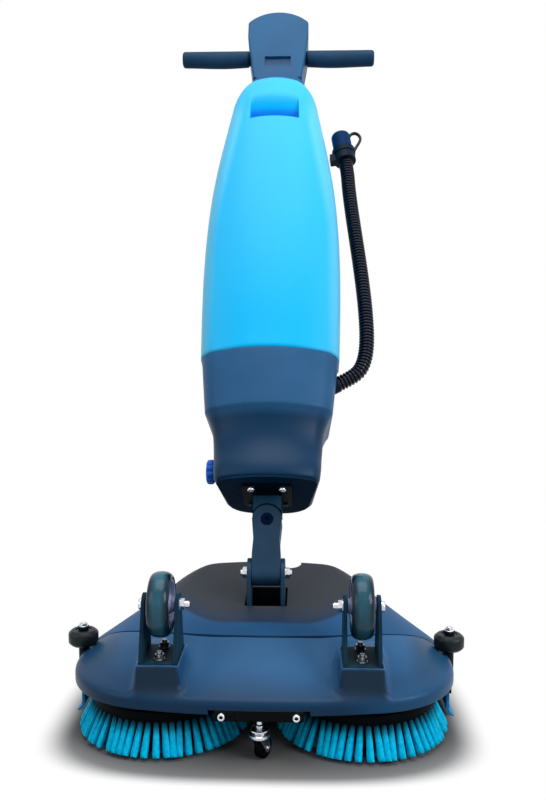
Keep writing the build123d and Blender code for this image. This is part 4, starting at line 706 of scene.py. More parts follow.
def circle(count: int) -> Points:
    """Even directions round an axis."""
    return np.linspace(0, math.tau, count, endpoint=False)


def ring(radius: Any, turn: Points) -> tuple[Points, Points]:
    """Both coordinates of points round an axis."""
    return radius * np.cos(turn), radius * np.sin(turn)


def coords(*parts: Any) -> Points:
    """Points from their coordinates, each a row or one number for all."""
    return np.column_stack(np.broadcast_arrays(*parts))


def bowed(half: float, end: float, middle: float, count: int) -> Points:
    """Points on an arc across the machine, from left to right."""
    sag = end - middle
    radius = (half ** 2 + sag ** 2) / (2 * sag)
    turn = np.linspace(-1, 1, count) * math.asin(half / radius)
    return coords(radius * np.sin(turn), middle + radius * (1 - np.cos(turn)))


def half_bowed(half: float, end: float, middle: float) -> Points:
    """Right-hand half of such an arc, from the centre plane out."""
    count = 120
    return bowed(half, end, middle, 2 * count + 1)[count:]


def line(start: Sequence[float], end: Sequence[float], count: int = 41) -> Points:
    """Points on a straight line."""
    return np.linspace(np.asarray(start, float), np.asarray(end, float), count)


def walk(path: Points, at: Any) -> Points:
    """Points of a path at distances from its start."""
    steps = np.r_[0, np.cumsum(np.linalg.norm(np.diff(path, axis=0), axis=1))]
    return coords(*(np.interp(at, steps, part) for part in path.T))


def reach(path: Points) -> float:
    """Length of a path."""
    return float(np.linalg.norm(np.diff(path, axis=0), axis=1).sum())


def evenly(path: Points, count: int) -> Points:
    """Points at even distances along a path."""
    return walk(path, np.linspace(0, reach(path), count))


def rounded(before: Points, after: Points, radius: float, count: int) -> tuple[Points, Points, Points]:
    """Round the corner where two paths meet.

    Args:
        before: path that ends at the corner.
        after: path that starts at the corner.
        radius: radius of the round.
        count: points on the round.

    Returns:
        The first path cut short, the round, and the second path cut short.
    """
    longest = 0.95
    came = before[-1] - before[-2]
    goes = after[1] - after[0]
    cosine = came @ goes / (np.linalg.norm(came) * np.linalg.norm(goes))
    turn = math.acos(min(1, max(-1, cosine)))
    trim = min(radius * math.tan(turn / 2), longest * reach(before), longest * reach(after))
    kept = walk(before, np.linspace(0, reach(before) - trim, len(before)))
    rest = walk(after, np.linspace(trim, reach(after), len(after)))
    weight = math.cos(turn / 2)
    t = np.linspace(0, 1, count)[:, None]
    low, mid, high = (1 - t) ** 2, 2 * weight * t * (1 - t), t ** 2
    bend = (low * kept[-1] + mid * before[-1] + high * rest[0]) / (low + mid + high)
    return kept, bend, rest


def chained(*paths: Points) -> Points:
    """Join paths that each start where the one before ends."""
    return np.vstack([paths[0], *(path[1:] for path in paths[1:])])


def mirrored(half: Points) -> Points:
    """Close a loop from its right-hand half."""
    left = half[-2:0:-1] * np.array([-1, 1])
    return np.vstack([half, left])


def drawn_in(loop: Points, front: float, rear: float, amount: float) -> Points:
    """Draw a loop in towards its middle by an amount on every side."""
    if not amount:
        return loop
    centre = np.array([0, (front + rear) / 2])
    size = np.abs(loop - centre).max(0)
    return centre + (loop - centre) * (1 - amount / size)


def unit(ways: Points) -> Points:
    """Directions of length one, row by row."""
    return ways / np.linalg.norm(ways, axis=1)[:, None]


def linked(name: str, data: bpy.types.ID) -> Object:
    """Make an object of its data and put it into the scene."""
    made = bpy.data.objects.new(name, data)
    bpy.context.scene.collection.objects.link(made)
    return made


def smooth(piece: Object, sharp: float) -> None:
    """Shade a piece smoothly up to an angle in degrees."""
    piece.data.shade_smooth()
    piece.data.set_sharp_from_angle(angle=math.radians(sharp))


def solid(name: str, points: Points, faces: list, sharp: float = 35) -> Object:
    """Make a mesh object from points in millimetres.

    Args:
        name: name of the piece.
        points: its vertices.
        faces: its faces, as vertex numbers.
        sharp: angle in degrees over which an edge stays sharp.

    Returns:
        The new object.
    """
    mesh = bpy.data.meshes.new(name)
    mesh.from_pydata((np.asarray(points) * MM).tolist(), [], faces)
    work = bmesh.new()
    work.from_mesh(mesh)
    bmesh.ops.remove_doubles(work, verts=work.verts, dist=MERGE)
    bmesh.ops.recalc_face_normals(work, faces=work.faces)
    work.to_mesh(mesh)
    work.free()
    made = linked(name, mesh)
    smooth(made, sharp)
    return made


def loft_faces(rows: int, columns: int, caps: bool = True) -> list:
    """Faces between closed loops of points that are stacked row by row."""
    faces = []
    for first in range(0, (rows - 1) * columns, columns):
        above = first + columns
        for c in range(columns):
            d = (c + 1) % columns
            faces.append((first + c, first + d, above + d, above + c))
    if caps:
        last = (rows - 1) * columns
        faces += [tuple(range(columns)), tuple(range(last, last + columns))]
    return faces


def lofted(name: str, loops: Sequence[Points], sharp: float = 35) -> Object:
    """Skin closed loops in their order and cap both ends."""
    return solid(name, np.vstack(loops), loft_faces(len(loops), len(loops[0])), sharp)


def block(name: str, plan: Sequence, heights: Pair) -> Object:
    """A straight block over a plan, from a foot to a top."""
    return lofted(name, [coords(*np.transpose(plan), z) for z in heights])


def box(name: str, sides: Pair, depths: Pair, heights: Pair) -> Object:
    """A box between its sides, its front and back, and its foot and top."""
    plan = [(x, y) for y, ends in zip(depths, (sides, sides[::-1])) for x in ends]
    return block(name, plan, heights)


def turned(name: str, profile: Rows, origin: Triple, axis: Triple, count: int, sharp: float) -> Object:
    """Turn a profile about an axis.

    Args:
        name: name of the piece.
        profile: rows of radius and height; it closes on itself unless both ends lie on the axis.
        origin: foot of the axis.
        axis: direction of the axis.
        count: steps round the axis.
        sharp: angle in degrees over which an edge stays sharp.

    Returns:
        The new object.
    """
    aslant = (0.3, 0.5, 0.81)
    profile = np.asarray(profile, float)
    along = np.asarray(axis, float)
    across = np.cross(along, aslant)
    across /= np.linalg.norm(across)
    aside = np.cross(along, across)
    angles = circle(count)
    rim = np.cos(angles)[:, None] * across + np.sin(angles)[:, None] * aside
    loops = [np.asarray(origin) + along * height + rim * radius for radius, height in profile]
    if profile[[0, -1], 0].any():
        loops.append(loops[0])
    return solid(name, np.vstack(loops), loft_faces(len(loops), count, caps=False), sharp)


def settled(piece: Object) -> bpy.types.Mesh:
    """A plain mesh of a piece, with its modifiers worked out."""
    bpy.context.view_layer.update()
    graph = bpy.context.evaluated_depsgraph_get()
    return bpy.data.meshes.new_from_object(piece.evaluated_get(graph))


def bake(piece: Object) -> Object:
    """Turn a piece with modifiers into a plain mesh."""
    mesh = settled(piece)
    piece.modifiers.clear()
    old = piece.data
    piece.data = mesh
    bpy.data.meshes.remove(old)
    return piece


def worked(piece: Object, tool: Object, join: Join) -> None:
    """Cut or keep with a tool, which is used up."""
    step = piece.modifiers.new("work", "BOOLEAN")
    step.operation = join.value
    step.solver = "EXACT"
    step.object = tool
    bake(piece)
    bpy.data.objects.remove(tool)


def eased(piece: Object, width: float, segments: int = 2, angle: float = 38) -> Object:
    """Round the edges of a piece that are sharper than an angle."""
    step = piece.modifiers.new("ease", "BEVEL")
    step.width = width * MM
    step.segments = segments
    step.limit_method = "ANGLE"
    step.angle_limit = math.radians(angle)
    step.harden_normals = True
    smooth(piece, angle)
    return bake(piece)


@dataclass
class Workshop:
    """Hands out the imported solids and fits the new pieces."""

    frame: dict[str, Any]
    pieces: list[str] = field(default_factory=list)
    flat: float = 0.3
    copy_sharp: float = 30
    fasteners: "Fasteners" = field(default_factory=lambda: Fasteners())

    def fit(self, piece: Object, finish: Finish, body: str, slot: str, *nodes: str) -> None:
        """Give a piece its finish, its body and the solids that it stands for.

        Args:
            piece: the finished object.
            finish: what its surface is.
            body: body that it moves with.
            slot: material slot of the record; not used.
            nodes: solids that it replaces.
        """
        finish.cover(piece.data)
        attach(piece, body)
        if nodes:
            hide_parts(*nodes)
        self.pieces.append(piece.name)
        LOG.info("%s rides on %s", piece.name, body)

    def fasten(self, name: str, head: Object, places: list[Place], finish: Finish, *rest: str) -> None:
        """Set one kind of fastener on its places and fit the set as one piece.

        Args:
            name: name of the piece.
            head: shape of the head, which is used up.
            places: where the heads go.
            finish: what they are made of.
            rest: body, slot and solids, as fit takes them.
        """
        feet, ways = (np.array(rows, float) for rows in zip(*places))
        seed = solid("fastener_seed", feet, [])
        facing = seed.data.attributes.new("facing", "FLOAT_VECTOR", "POINT")
        facing.data.foreach_set("vector", ways.ravel())
        made = self.fasteners.tree.grow(name, seed, {"Head": head, "Finish": finish.material()})
        bpy.data.objects.remove(head)
        smooth(made, self.fasteners.sharp)
        self.fit(made, finish, *rest)

    def paint(self, finish: Finish, *nodes: str) -> None:
        """Give solids that stay their finish."""
        for node in nodes:
            finish.cover(self.frame["nodes"][node].data)
            LOG.info("%s keeps its solid", node)

    def copy(self, node: str, name: str, ease: float = 0, segments: int = 2) -> Object:
        """A copy of a solid with whole flat faces and rounded edges.

        Args:
            node: name of the solid.
            name: name of the copy.
            ease: width of the rounded edges.
            segments: steps across an edge.

        Returns:
            The copy.
        """
        mesh = self.frame["nodes"][node].data.copy()
        mesh.name = name
        if mesh.has_custom_normals:
            mesh.attributes.remove(mesh.attributes["custom_normal"])
        work = bmesh.new()
        work.from_mesh(mesh)
        bmesh.ops.remove_doubles(work, verts=work.verts, dist=MERGE)
        bmesh.ops.dissolve_limit(
            work, angle_limit=math.radians(self.flat), verts=work.verts, edges=work.edges, delimit=set()
        )
        work.to_mesh(mesh)
        work.free()
        made = linked(name, mesh)
        smooth(made, self.copy_sharp)
        return eased(made, ease, segments) if ease else made


@dataclass(frozen=True)
class Lamp:
    """A square soft lamp."""

    name: str
    place: Triple
    target: Triple
    side: float
    watts: float
    mirrored: bool = True

    def hang(self) -> None:
        """Put the lamp into the scene, facing its target."""
        data = bpy.data.lights.new(self.name, "AREA")
        data.shape = "SQUARE"
        data.size = self.side * MM
        data.energy = self.watts
        lamp = linked(self.name, data)
        lamp.visible_glossy = self.mirrored
        lamp.location = Vector(self.place) * MM
        way = (Vector(self.target) - Vector(self.place)) * MM
        lamp.rotation_euler = way.to_track_quat("-Z", "Y").to_euler()


@dataclass
class Studio:
    """Camera, soft lamps and a white floor that keeps the shadow."""

    eye: Triple = (51.7, -1182.5, 521.1)
    yaw: float = 2.053
    pitch: float = 5.206
    focus: float = 869.7
    image_height: int = 800
    film: float = 36
    lamps: tuple[Lamp, ...] = (
        Lamp("top_lamp", (0, -150, 2600), (0, 100, 0), 1800, 37),
        Lamp("key_lamp", (2000, -1150, 1500), (0, 100, 450), 1200, 34),
        Lamp("fill_lamp", (-2000, -1300, 1300), (0, 100, 450), 1500, 14),
        Lamp("back_lamp", (-900, 2600, 1100), (0, 200, 550), 1600, 14, mirrored=False),
    )
    sky_light: Four = (0.17, 0.17, 0.18, 1)
    floor_size: float = 9000
    floor_glow: float = 0.84
    floor_rough: float = 0.9
    bounce: float = 0.3
    shade_base: float = 0.16
    shade_reach: float = 220
    shade_samples: int = 16
    shade_power: float = 8
    shade_axes: Triple = (266, 145, 310)
    shade_middle: float = -100
    shade_curve: float = 3.2
    white_from: Pair = (0.89, 1.08)

    def camera(self) -> None:
        """Set the camera up and make it the scene's own."""
        data = bpy.data.cameras.new("photo_camera")
        data.sensor_fit = "VERTICAL"
        data.sensor_height = self.film
        data.sensor_width = self.film
        data.lens = self.focus / self.image_height * self.film
        camera = linked("photo_camera", data)
        camera.location = Vector(self.eye) * MM
        camera.rotation_euler = (math.radians(90 - self.pitch), 0, math.radians(self.yaw))
        bpy.context.scene.camera = camera

    @staticmethod
    def seen(graph: Graph) -> Term:
        """One where a ray comes from the camera, a mirror or glass, else nought."""
        rays = graph.add("ShaderNodeLightPath")
        names = ("Is Camera Ray", "Is Glossy Ray", "Is Transmission Ray")
        camera, glossy, glass = (Term(graph, rays.outputs[name]) for name in names)
        return camera.most(glossy).most(glass)

    def sky(self) -> None:
        """White where it is seen, and a soft even light on the object."""
        world = bpy.data.worlds.new("studio_world")
        bpy.context.scene.world = world
        world.use_nodes = True
        graph = Graph(world.node_tree)
        colour = graph.mix(self.seen(graph), self.sky_light, WHITE)
        graph.fill(world.node_tree.nodes["Background"], {"Color": colour})

    def far_off(self, graph: Graph) -> Term:
        """Nought near the object, one outside a rounded patch of floor."""
        spot = Spot(graph)
        side, front, back = self.shade_axes
        past = spot.y - self.shade_middle
        along = (past * -1).most(0) / front + past.most(0) / back
        power = self.shade_curve
        return (((spot.side() / side) ** power + along ** power) ** (1 / power)).rise(self.white_from)

    def floor(self) -> None:
        """A floor that glows where nothing stands near it, and is plain white farther off."""
        corners = self.floor_size / 2 * np.array([(-1, -1, 0), (1, -1, 0), (1, 1, 0), (-1, 1, 0)])
        floor = solid("studio_floor", corners, [(0, 1, 2, 3)])
        material = bpy.data.materials.new("studio_floor")
        material.use_nodes = True
        nodes = material.node_tree.nodes
        graph = Graph(material.node_tree)
        seen = self.seen(graph)
        sockets = {"Distance": self.shade_reach * MM}
        near = graph.term("ShaderNodeAmbientOcclusion", {"samples": self.shade_samples}, sockets, "AO")
        shader = nodes["Principled BSDF"]
        graph.fill(shader, {
            "Base Color": graph.mix(seen, (self.bounce,) * 3 + (1,), (self.shade_base,) * 3 + (1,)),
            "Roughness": self.floor_rough,
            "Specular IOR Level": 0,
            "Emission Strength": self.floor_glow,
            "Emission Color": graph.mix(seen * near ** self.shade_power, BLACK, WHITE),
        })
        plain = graph.term("ShaderNodeEmission")
        sockets = {0: self.far_off(graph) * seen, 1: Term(graph, shader.outputs[0]), 2: plain}
        both = graph.term("ShaderNodeMixShader", None, sockets)
        graph.fill(nodes["Material Output"], {"Surface": both})
        floor.data.materials.append(material)

    def build(self) -> None:
        """Set everything but the object up."""
        bpy.context.scene.view_settings.view_transform = "Standard"
        self.camera()
        for lamp in self.lamps:
            lamp.hang()
        self.sky()
        self.floor()


class NodeShape:
    """A shape made by a tree of geometry nodes with named inputs."""

    def __init__(self, name: str, inputs: dict[str, str]) -> None:
        """Start a tree.

        Args:
            name: name of the tree.
            inputs: kind of socket of each named input.
        """
        self.tree = bpy.data.node_groups.new(name, "GeometryNodeTree")
        self.graph = Graph(self.tree)
        face = self.tree.interface
        face.new_socket("Geometry", in_out="OUTPUT", socket_type="NodeSocketGeometry")
        self.keys = {}
        for label, kind in {"Geometry": "Geometry", **inputs}.items():
            socket = face.new_socket(label, in_out="INPUT", socket_type=f"NodeSocket{kind}")
            self.keys[label] = socket.identifier
        self.source = self.tree.nodes.new("NodeGroupInput")
        self.sink = self.tree.nodes.new("NodeGroupOutput")

    def given(self, label: str) -> Term:
        """One of the inputs, or the geometry that the tree starts from."""
        return Term(self.graph, self.source.outputs[label])

    def placed(self, label: str, sockets: dict[str, Term]) -> Term:
        """Copies of an input's object, with the links that say where they go."""
        shape = self.graph.term("GeometryNodeObjectInfo", None, {"Object": self.given(label)}, "Geometry")
        return self.graph.term("GeometryNodeInstanceOnPoints", None, {"Instance": shape, **sockets})

    def end(self, shape: Term) -> None:
        """Make instances real, set their finish and end the tree."""
        real = self.graph.term("GeometryNodeRealizeInstances", None, {"Geometry": shape})
        sockets = {"Geometry": real, "Material": self.given("Finish")}
        done = self.graph.term("GeometryNodeSetMaterial", None, sockets)
        self.graph.fill(self.sink, {"Geometry": done})

    def grow(self, name: str, seed: Object, values: dict[str, Any]) -> Object:
        """Make a plain mesh of the tree on a seed object, which is used up.

        Args:
            name: name of the piece.
            seed: object whose mesh the tree starts from.
            values: values of the named inputs.

        Returns:
            The new object.
        """
        step = seed.modifiers.new(name, "NODES")
        step.node_group = self.tree
        for label, value in values.items():
            step[self.keys[label]] = value
        mesh = settled(seed)
        mesh.name = name
        bpy.data.objects.remove(seed)
        return linked(name, mesh)


@dataclass
class DrainHose:
    """Ribbed drain hose with its cuff, cap and strap."""

    radius: float = 12
    groove: float = 2.9
    pitch: float = 5.4
    rib_share: float = 0.36
    crest_round: float = 0.3
    shoulder_round: float = 0.5
    rib_overlap: float = 0.4
    steps: int = 28
    sharp: float = 50
    start: Pair = (103, 219.4)
    rise: float = 28
    straight: float = 30
    route: Rows = (
        (141.5, 250), (147.5, 273), (149.8, 300), (149, 345), (146, 390), (141.5, 440),
        (136, 492), (130.5, 545), (126.5, 592),
    )
    end: Pair = (121, 656)
    lean: float = 8
    length: float = 458
    curve_order: int = 3
    curve_steps: int = 16
    strap_line: Rows = (
        (17.5, 11), (23.5, 21), (31, 32), (33.6, 42), (29, 50.5), (21, 51.5), (14.5, 45.5),
    )
    strap_size: Pair = (2.5, 3.4)
    strap_rows: int = 61
    strap_steps: int = 20
    strap_sharp: float = 60

    def control(self) -> Points:
        """Control points of the hose's line, in the machine's frame."""
        turn = math.radians(self.rise)
        tip = math.radians(self.lean)
        (x, level), (end_x, end_level) = self.start, self.end
        out = (x + self.straight * math.cos(turn), level + self.straight * math.sin(turn))
        back = (end_x + self.straight * math.sin(tip), end_level - self.straight * math.cos(tip))
        rows = np.array([self.start, out, *self.route, back, self.end])
        return UPRIGHT.at(rows[:, 0], 0, rows[:, 1])

    def centreline(self) -> Points:
        """Points along the hose's smooth line, in millimetres."""
        data = bpy.data.curves.new("hose_line", "CURVE")
        data.dimensions = "3D"
        spline = data.splines.new("NURBS")
        control = self.control() * MM
        spline.points.add(len(control) - 1)
        spline.points.foreach_set("co", coords(*control.T, 1).ravel())
        spline.order_u = self.curve_order
        spline.use_endpoint_u = True
        spline.resolution_u = self.curve_steps
        guide = linked("hose_line", data)
        mesh = settled(guide)
        points = np.array([vertex.co for vertex in mesh.vertices]) / MM
        bpy.data.objects.remove(guide)
        bpy.data.meshes.remove(mesh)
        return points

    def rib(self) -> Object:
        """One rounded rib of the hose, about the Z axis."""
        half = self.rib_share * self.pitch
        root = self.radius - self.groove
        crest = self.radius - self.crest_round
        shoulder = crest - self.shoulder_round
        side = np.array([
            (self.radius, 0), (crest, 0.4 * half), (shoulder, 0.7 * half), (root, half),
            (root - self.rib_overlap, half),
        ])
        profile = np.vstack([side[:0:-1] * (1, -1), side])
        return turned("hose_rib", profile, (0, 0, 0), UP, self.steps, self.sharp)

    def ribbed(self) -> NodeShape:
        """Tree that threads ribs on a line and runs the tube through them."""
        inputs = {"Pitch": "Float", "Tube radius": "Float", "Rib": "Object", "Finish": "Material"}
        shape = NodeShape("ribbed_hose", inputs)
        graph = shape.graph
        curve = graph.term("GeometryNodeMeshToCurve", None, {"Mesh": shape.given("Geometry")})
        sockets = {"Curve": curve, "Length": shape.given("Pitch")}
        threads = graph.add("GeometryNodeCurveToPoints", {"mode": "LENGTH"}, sockets).outputs
        ribs = shape.placed("Rib", {key: Term(graph, threads[key]) for key in ("Points", "Rotation")})
        sockets = {"Resolution": self.steps, "Radius": shape.given("Tube radius")}
        rim = graph.term("GeometryNodeCurvePrimitiveCircle", None, sockets)
        tube = graph.term("GeometryNodeCurveToMesh", None, {"Curve": curve, "Profile Curve": rim})
        both = graph.add("GeometryNodeJoinGeometry")
        for part in (ribs, tube):
            graph.fill(both, {0: part})
        shape.end(Term(graph, both.outputs[0]))
        return shape

    def build(self, shop: Workshop) -> None:
        path = self.centreline()
        mesh = bpy.data.meshes.new("hose_seed")
        mesh.from_pydata((path * MM).tolist(), [(i, i + 1) for i in range(len(path) - 1)], [])
        seed = linked("hose_seed", mesh)
        rib = self.rib()
        hose = self.ribbed().grow("ribbed_drain_hose", seed, {
            "Pitch": self.pitch * MM, "Tube radius": (self.radius - self.groove) * MM,
            "Rib": rib, "Finish": HOSE.material(),
        })
        bpy.data.objects.remove(rib)
        smooth(hose, self.sharp)
        shop.fit(hose, HOSE, "upright", "hose_rubber", "drain_hose")
        shop.paint(DARK, "hose_clip", "hose_cuff", "hose_spigot")
        shop.paint(CAP, "drain_cap")
        self.strap(shop)

    def strap(self, shop: Workshop) -> None:
        """Rubber strap that loops from the cuff to the cap."""
        known = np.array(self.strap_line)
        along = np.linspace(0, len(known) - 1, self.strap_rows)
        out, up = natural_spline(coords(np.arange(len(known)), *known.T), along).T
        tip = math.radians(self.lean)
        x = self.end[0] + out * math.cos(tip) - up * math.sin(tip)
        level = self.end[1] + out * math.sin(tip) + up * math.cos(tip)
        path = UPRIGHT.at(x, 0, level)
        sides = np.cross(unit(np.gradient(path, axis=0)), UPRIGHT.behind)
        turn = circle(self.strap_steps)
        thick, wide = self.strap_size
        across = np.outer(wide * np.sin(turn), UPRIGHT.behind)
        loops = [p + np.outer(thick * np.cos(turn), side) + across for p, side in zip(path, sides)]
        strap = lofted("cap_tether", loops, self.strap_sharp)
        HOSE.cover(strap.data)
        start, end = path[0] * MM, path[-1] * MM
        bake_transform(strap)
        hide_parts("cap_strap")
        shop.pieces.append(strap.name)
        LOG.info("%s bends between upright and cap", strap.name)


@dataclass
class Tank:
    """Bowed water tank with a finger recess under its crown."""

    levels: Rows = (
        (244, 105, -79.5), (326, 107.6, -80), (408, 108.4, -80), (490, 105.9, -79.5),
        (572, 98.8, -78), (654, 86.4, -74.5), (736, 72.4, -69),
    )
    bow: float = 0.27
    corner: float = 0.4
    rear: float = 18
    back_corner: float = 9
    foot_ease: float = 1.4
    foot_rows: Triple = (0, 0.6, 1.6)
    body_rows: Span = (250, 666, 38)
    crown_top: float = 813
    crown_half: float = 29
    crown_front: float = -22
    crown_taper: float = 0.2
    crown_rows: int = 26
    grip_level: float = 688
    grip_half: float = 41
    grip_soft: Pair = (-3.2, 1.2)
    grip_deep: float = -50.5
    grip_slope: float = 20
    grip_follow: float = 0.8
    grip_rows: Row = (-12, -6, -2.6, -1, -0.3, 0.1, 0.7, 2)
    grip_columns: Row = (-5, -2.5, -1.2, -0.4, 0, 0.6, 1.6, 3.5)
    grip_above: Pair = (5, 3)
    lip_height: float = 8
    lip_blend: float = 0.3
    floor_blend: float = 2.4
    panel: Rows = ((250, 89), (430, 90), (575, 79), (676, 61), (735, 50))
    panel_depth: float = 0.9
    panel_soft: float = 5
    panel_foot: Pair = (250, 14)
    panel_top: Pair = (738, 30)
    front_limit: float = -10
    full_nose: float = 52
    sharp: float = 42

    def rows(self) -> Points:
        """Level, half width and front of each row of the mesh."""
        known = np.array(self.levels)
        foot, (low, half, front) = known[0, 0], known[-1]
        near = self.grip_level + np.array(self.grip_rows)
        start, pitch = self.grip_above
        above = np.arange(self.grip_level + start, low, pitch)
        lowest = foot + np.array(self.foot_rows)
        at = np.unique(np.r_[lowest, np.linspace(*self.body_rows), near, above, low])
        body = coords(at, *natural_spline(known, at).T)
        turn = np.radians(90) * np.linspace(0, 1, self.crown_rows)[1:]
        drawn = 1 - np.cos(turn)
        level = low + (self.crown_top - low) * np.sin(turn)
        taper = self.crown_taper * (level - low)
        halves = (half - taper) * (1 - drawn) + self.crown_half * drawn
        fronts = (front + taper / 2) * (1 - drawn) + self.crown_front * drawn
        return np.vstack([body, coords(level, halves, fronts)])

    def columns(self, nose: Points) -> Points:
        """Places across the front, close together at the sides of the recess."""
        last = nose[-1, 0]
        fixed = np.r_[np.linspace(0, 35, 12), self.grip_half + np.array(self.grip_columns)]
        fixed = fixed * min(1, last / self.full_nose)
        return np.r_[fixed, np.linspace(fixed[-1], last, 9)[1:]]

    def section(self, half: float, front: float, inset: float) -> Points:
        """One closed loop across the tank.

        Args:
            half: half of its width.
            front: where its front is.
            inset: how far it is drawn in.

        Returns:
            Places sideways and towards the back.
        """
        nose = half_bowed(half, front + self.bow * half, front)
        flank = line(nose[-1], (half, self.rear))
        back = line((half, self.rear), (0, self.rear))
        nose, shoulder, flank = rounded(nose, flank, self.corner * half, 17)
        flank, heel, back = rounded(flank, back, self.back_corner, 7)
        across = self.columns(nose)
        nose = coords(across, np.interp(across, *nose.T))
        loop = mirrored(chained(nose, shoulder, evenly(flank, 9), heel, evenly(back, 9)))
        return drawn_in(loop, front, self.rear, inset)

    def shaped(self, loop: Points, level: float) -> Points:
        """Sink the finger recess and the front panel into one loop."""
        x = np.abs(loop[:, 0])
        v = loop[:, 1].copy()
        front = v < self.front_limit
        edge = np.interp(level, *np.array(self.panel).T)
        inside = 1 - ramp(x, edge - self.panel_soft, edge + self.panel_soft)
        (foot, foot_soft), (top, top_soft) = self.panel_foot, self.panel_top
        ends = np.clip((level - foot) / foot_soft, 0, 1) * np.clip((top - level) / top_soft, 0, 1)
        v = np.where(front, v + self.panel_depth * inside * ends, v)
        up = level - self.grip_level
        if up > 0:
            floor = self.grip_deep - up * math.tan(math.radians(self.grip_slope))
            floor = floor + self.grip_follow * (v - v[front].min())
            beside = 1 - ramp(x, *(self.grip_half + np.array(self.grip_soft)))
            blend = self.floor_blend if up > self.lip_height else self.lip_blend
            sunk = (v + floor + np.sqrt((v - floor) ** 2 + blend ** 2)) / 2
            v = np.where(front, v + (sunk - v) * beside, v)
        return coords(loop[:, 0], v)

    def build(self, shop: Workshop) -> None:
        """Make the tank."""
        rows = self.rows()
        foot = rows[0, 0]
        loops = []
        for level, half, front in rows:
            inset = max(0, self.foot_ease * (1 - (level - foot) / self.foot_rows[-1]))
            loop = self.shaped(self.section(half, front, inset), level)
            loops.append(UPRIGHT.at(*loop.T, level))
        tank = lofted("water_tank", loops, self.sharp)
        shop.fit(tank, TANK, "upright", "tank_plastic", "tank")


@dataclass
class Base:
    """Base of the upright: a flared housing over a drawn-in skirt.

    A row of the housing has its level, its half widths in front and behind, where its front and its
    rear are, and the rounds of its front and rear corners. A row of an ease has its level and how
    far it is drawn in.
    """

    lower: Rows = (
        (44, 75, 61, -81.5, 87, 22, 36), (62, 77.2, 65.5, -80.5, 88.5, 26, 41),
        (80, 78.2, 68, -74, 88, 28, 40), (98, 79.4, 71, -69.5, 87, 29, 40),
        (116, 81, 73.5, -69, 87, 30, 40), (134, 85, 78, -72, 88, 32, 40),
        (152, 93, 86, -78, 90, 35, 42),
    )
    upper: Rows = (
        (152, 94.5, 88, -80, 91, 36, 42), (198, 99.6, 92, -80, 92, 39, 42),
        (244, 105, 94, -79.5, 92, 42, 42),
    )
    foot_ease: Rows = ((44, 3.4), (44.5, 1.9), (45.6, 0.7), (47.4, 0.1))
    crease_ease: Rows = ((152.6, 0.5), (154, 0.1))
    top_ease: Rows = ((242.6, 0.1), (243.5, 0.5), (244, 1.4))
    lower_rows: Span = (50, 146, 29)
    lower_end: float = 148.6
    upper_rows: Span = (157, 241, 15)
    bow: float = 0.27
    rear_bow: float = 3
    sharp: float = 40
    flutes: int = 10
    flute_power: float = 0.6
    knob_steps: int = 120
    knob_place: Pair = (-4, 75)
    knob_rows: Rows = (
        (-76, 11, 0), (-76.5, 12.5, 0), (-77.6, 13, 0), (-78.2, 15.6, 1.4), (-79.4, 17.2, 2),
        (-81, 17.9, 2.2), (-86.5, 17.9, 2.2), (-88.6, 17, 1.9), (-89.7, 15, 1.2), (-90, 12.4, 0),
        (-89.4, 10.6, 0), (-89.2, 6, 0),
    )

    def section(self, row: Points, inset: float) -> Points:
        """One closed loop across the base, from a row without its level."""
        half, half_rear, front, rear, front_round, rear_round = row
        nose = half_bowed(half, front + self.bow * half, front)
        tail = half_bowed(half_rear, rear - self.rear_bow, rear)[::-1]
        flank = line(nose[-1], tail[0])
        nose, shoulder, flank = rounded(nose, flank, front_round, 15)
        flank, heel, tail = rounded(flank, tail, rear_round, 15)
        half_loop = chained(evenly(nose, 25), shoulder, evenly(flank, 13), heel, evenly(tail, 13))
        return drawn_in(mirrored(half_loop), front, rear, inset)

    def shell(self) -> Object:
        """Housing and skirt in one skin."""
        low, high = (coords(np.linspace(*rows), 0) for rows in (self.lower_rows, self.upper_rows))
        skirt = [*self.foot_ease, *low, (self.lower_end, 0)]
        flare = [*self.crease_ease, *high, *self.top_ease]
        loops = []
        for known, stations in ((self.lower, skirt), (self.upper, flare)):
            levels, insets = np.array(stations).T
            for level, inset, row in zip(levels, insets, natural_spline(known, levels)):
                loop = self.section(row, inset)
                loops.append(UPRIGHT.at(*loop.T, level))
        return lofted("base_shell", loops, self.sharp)

    def knob(self) -> Object:
        """Fluted valve knob against the left side of the housing."""
        turn = circle(self.knob_steps)
        wave = 0.5 + 0.5 * np.cos(self.flutes * turn)
        v, level = self.knob_place
        loops = []
        for x, radius, depth in self.knob_rows:
            r = radius - depth * (1 - wave ** self.flute_power)
            loops.append(UPRIGHT.at(x, v + r * np.cos(turn), level + r * np.sin(turn)))
        return lofted("fluted_knob", loops, self.sharp)

    def build(self, shop: Workshop) -> None:
        """Make the housing and dress what hangs on it."""
        shop.fit(self.shell(), BASE_NAVY, "upright", "base_plastic", "base_housing")
        shop.paint(UNDER, "base_plate")
        shop.fit(self.knob(), KNOB, "knob", "knob_plastic", "valve_knob")
        shop.paint(IRON, "vacuum_motor")
        shop.paint(DARK, "water_valve")


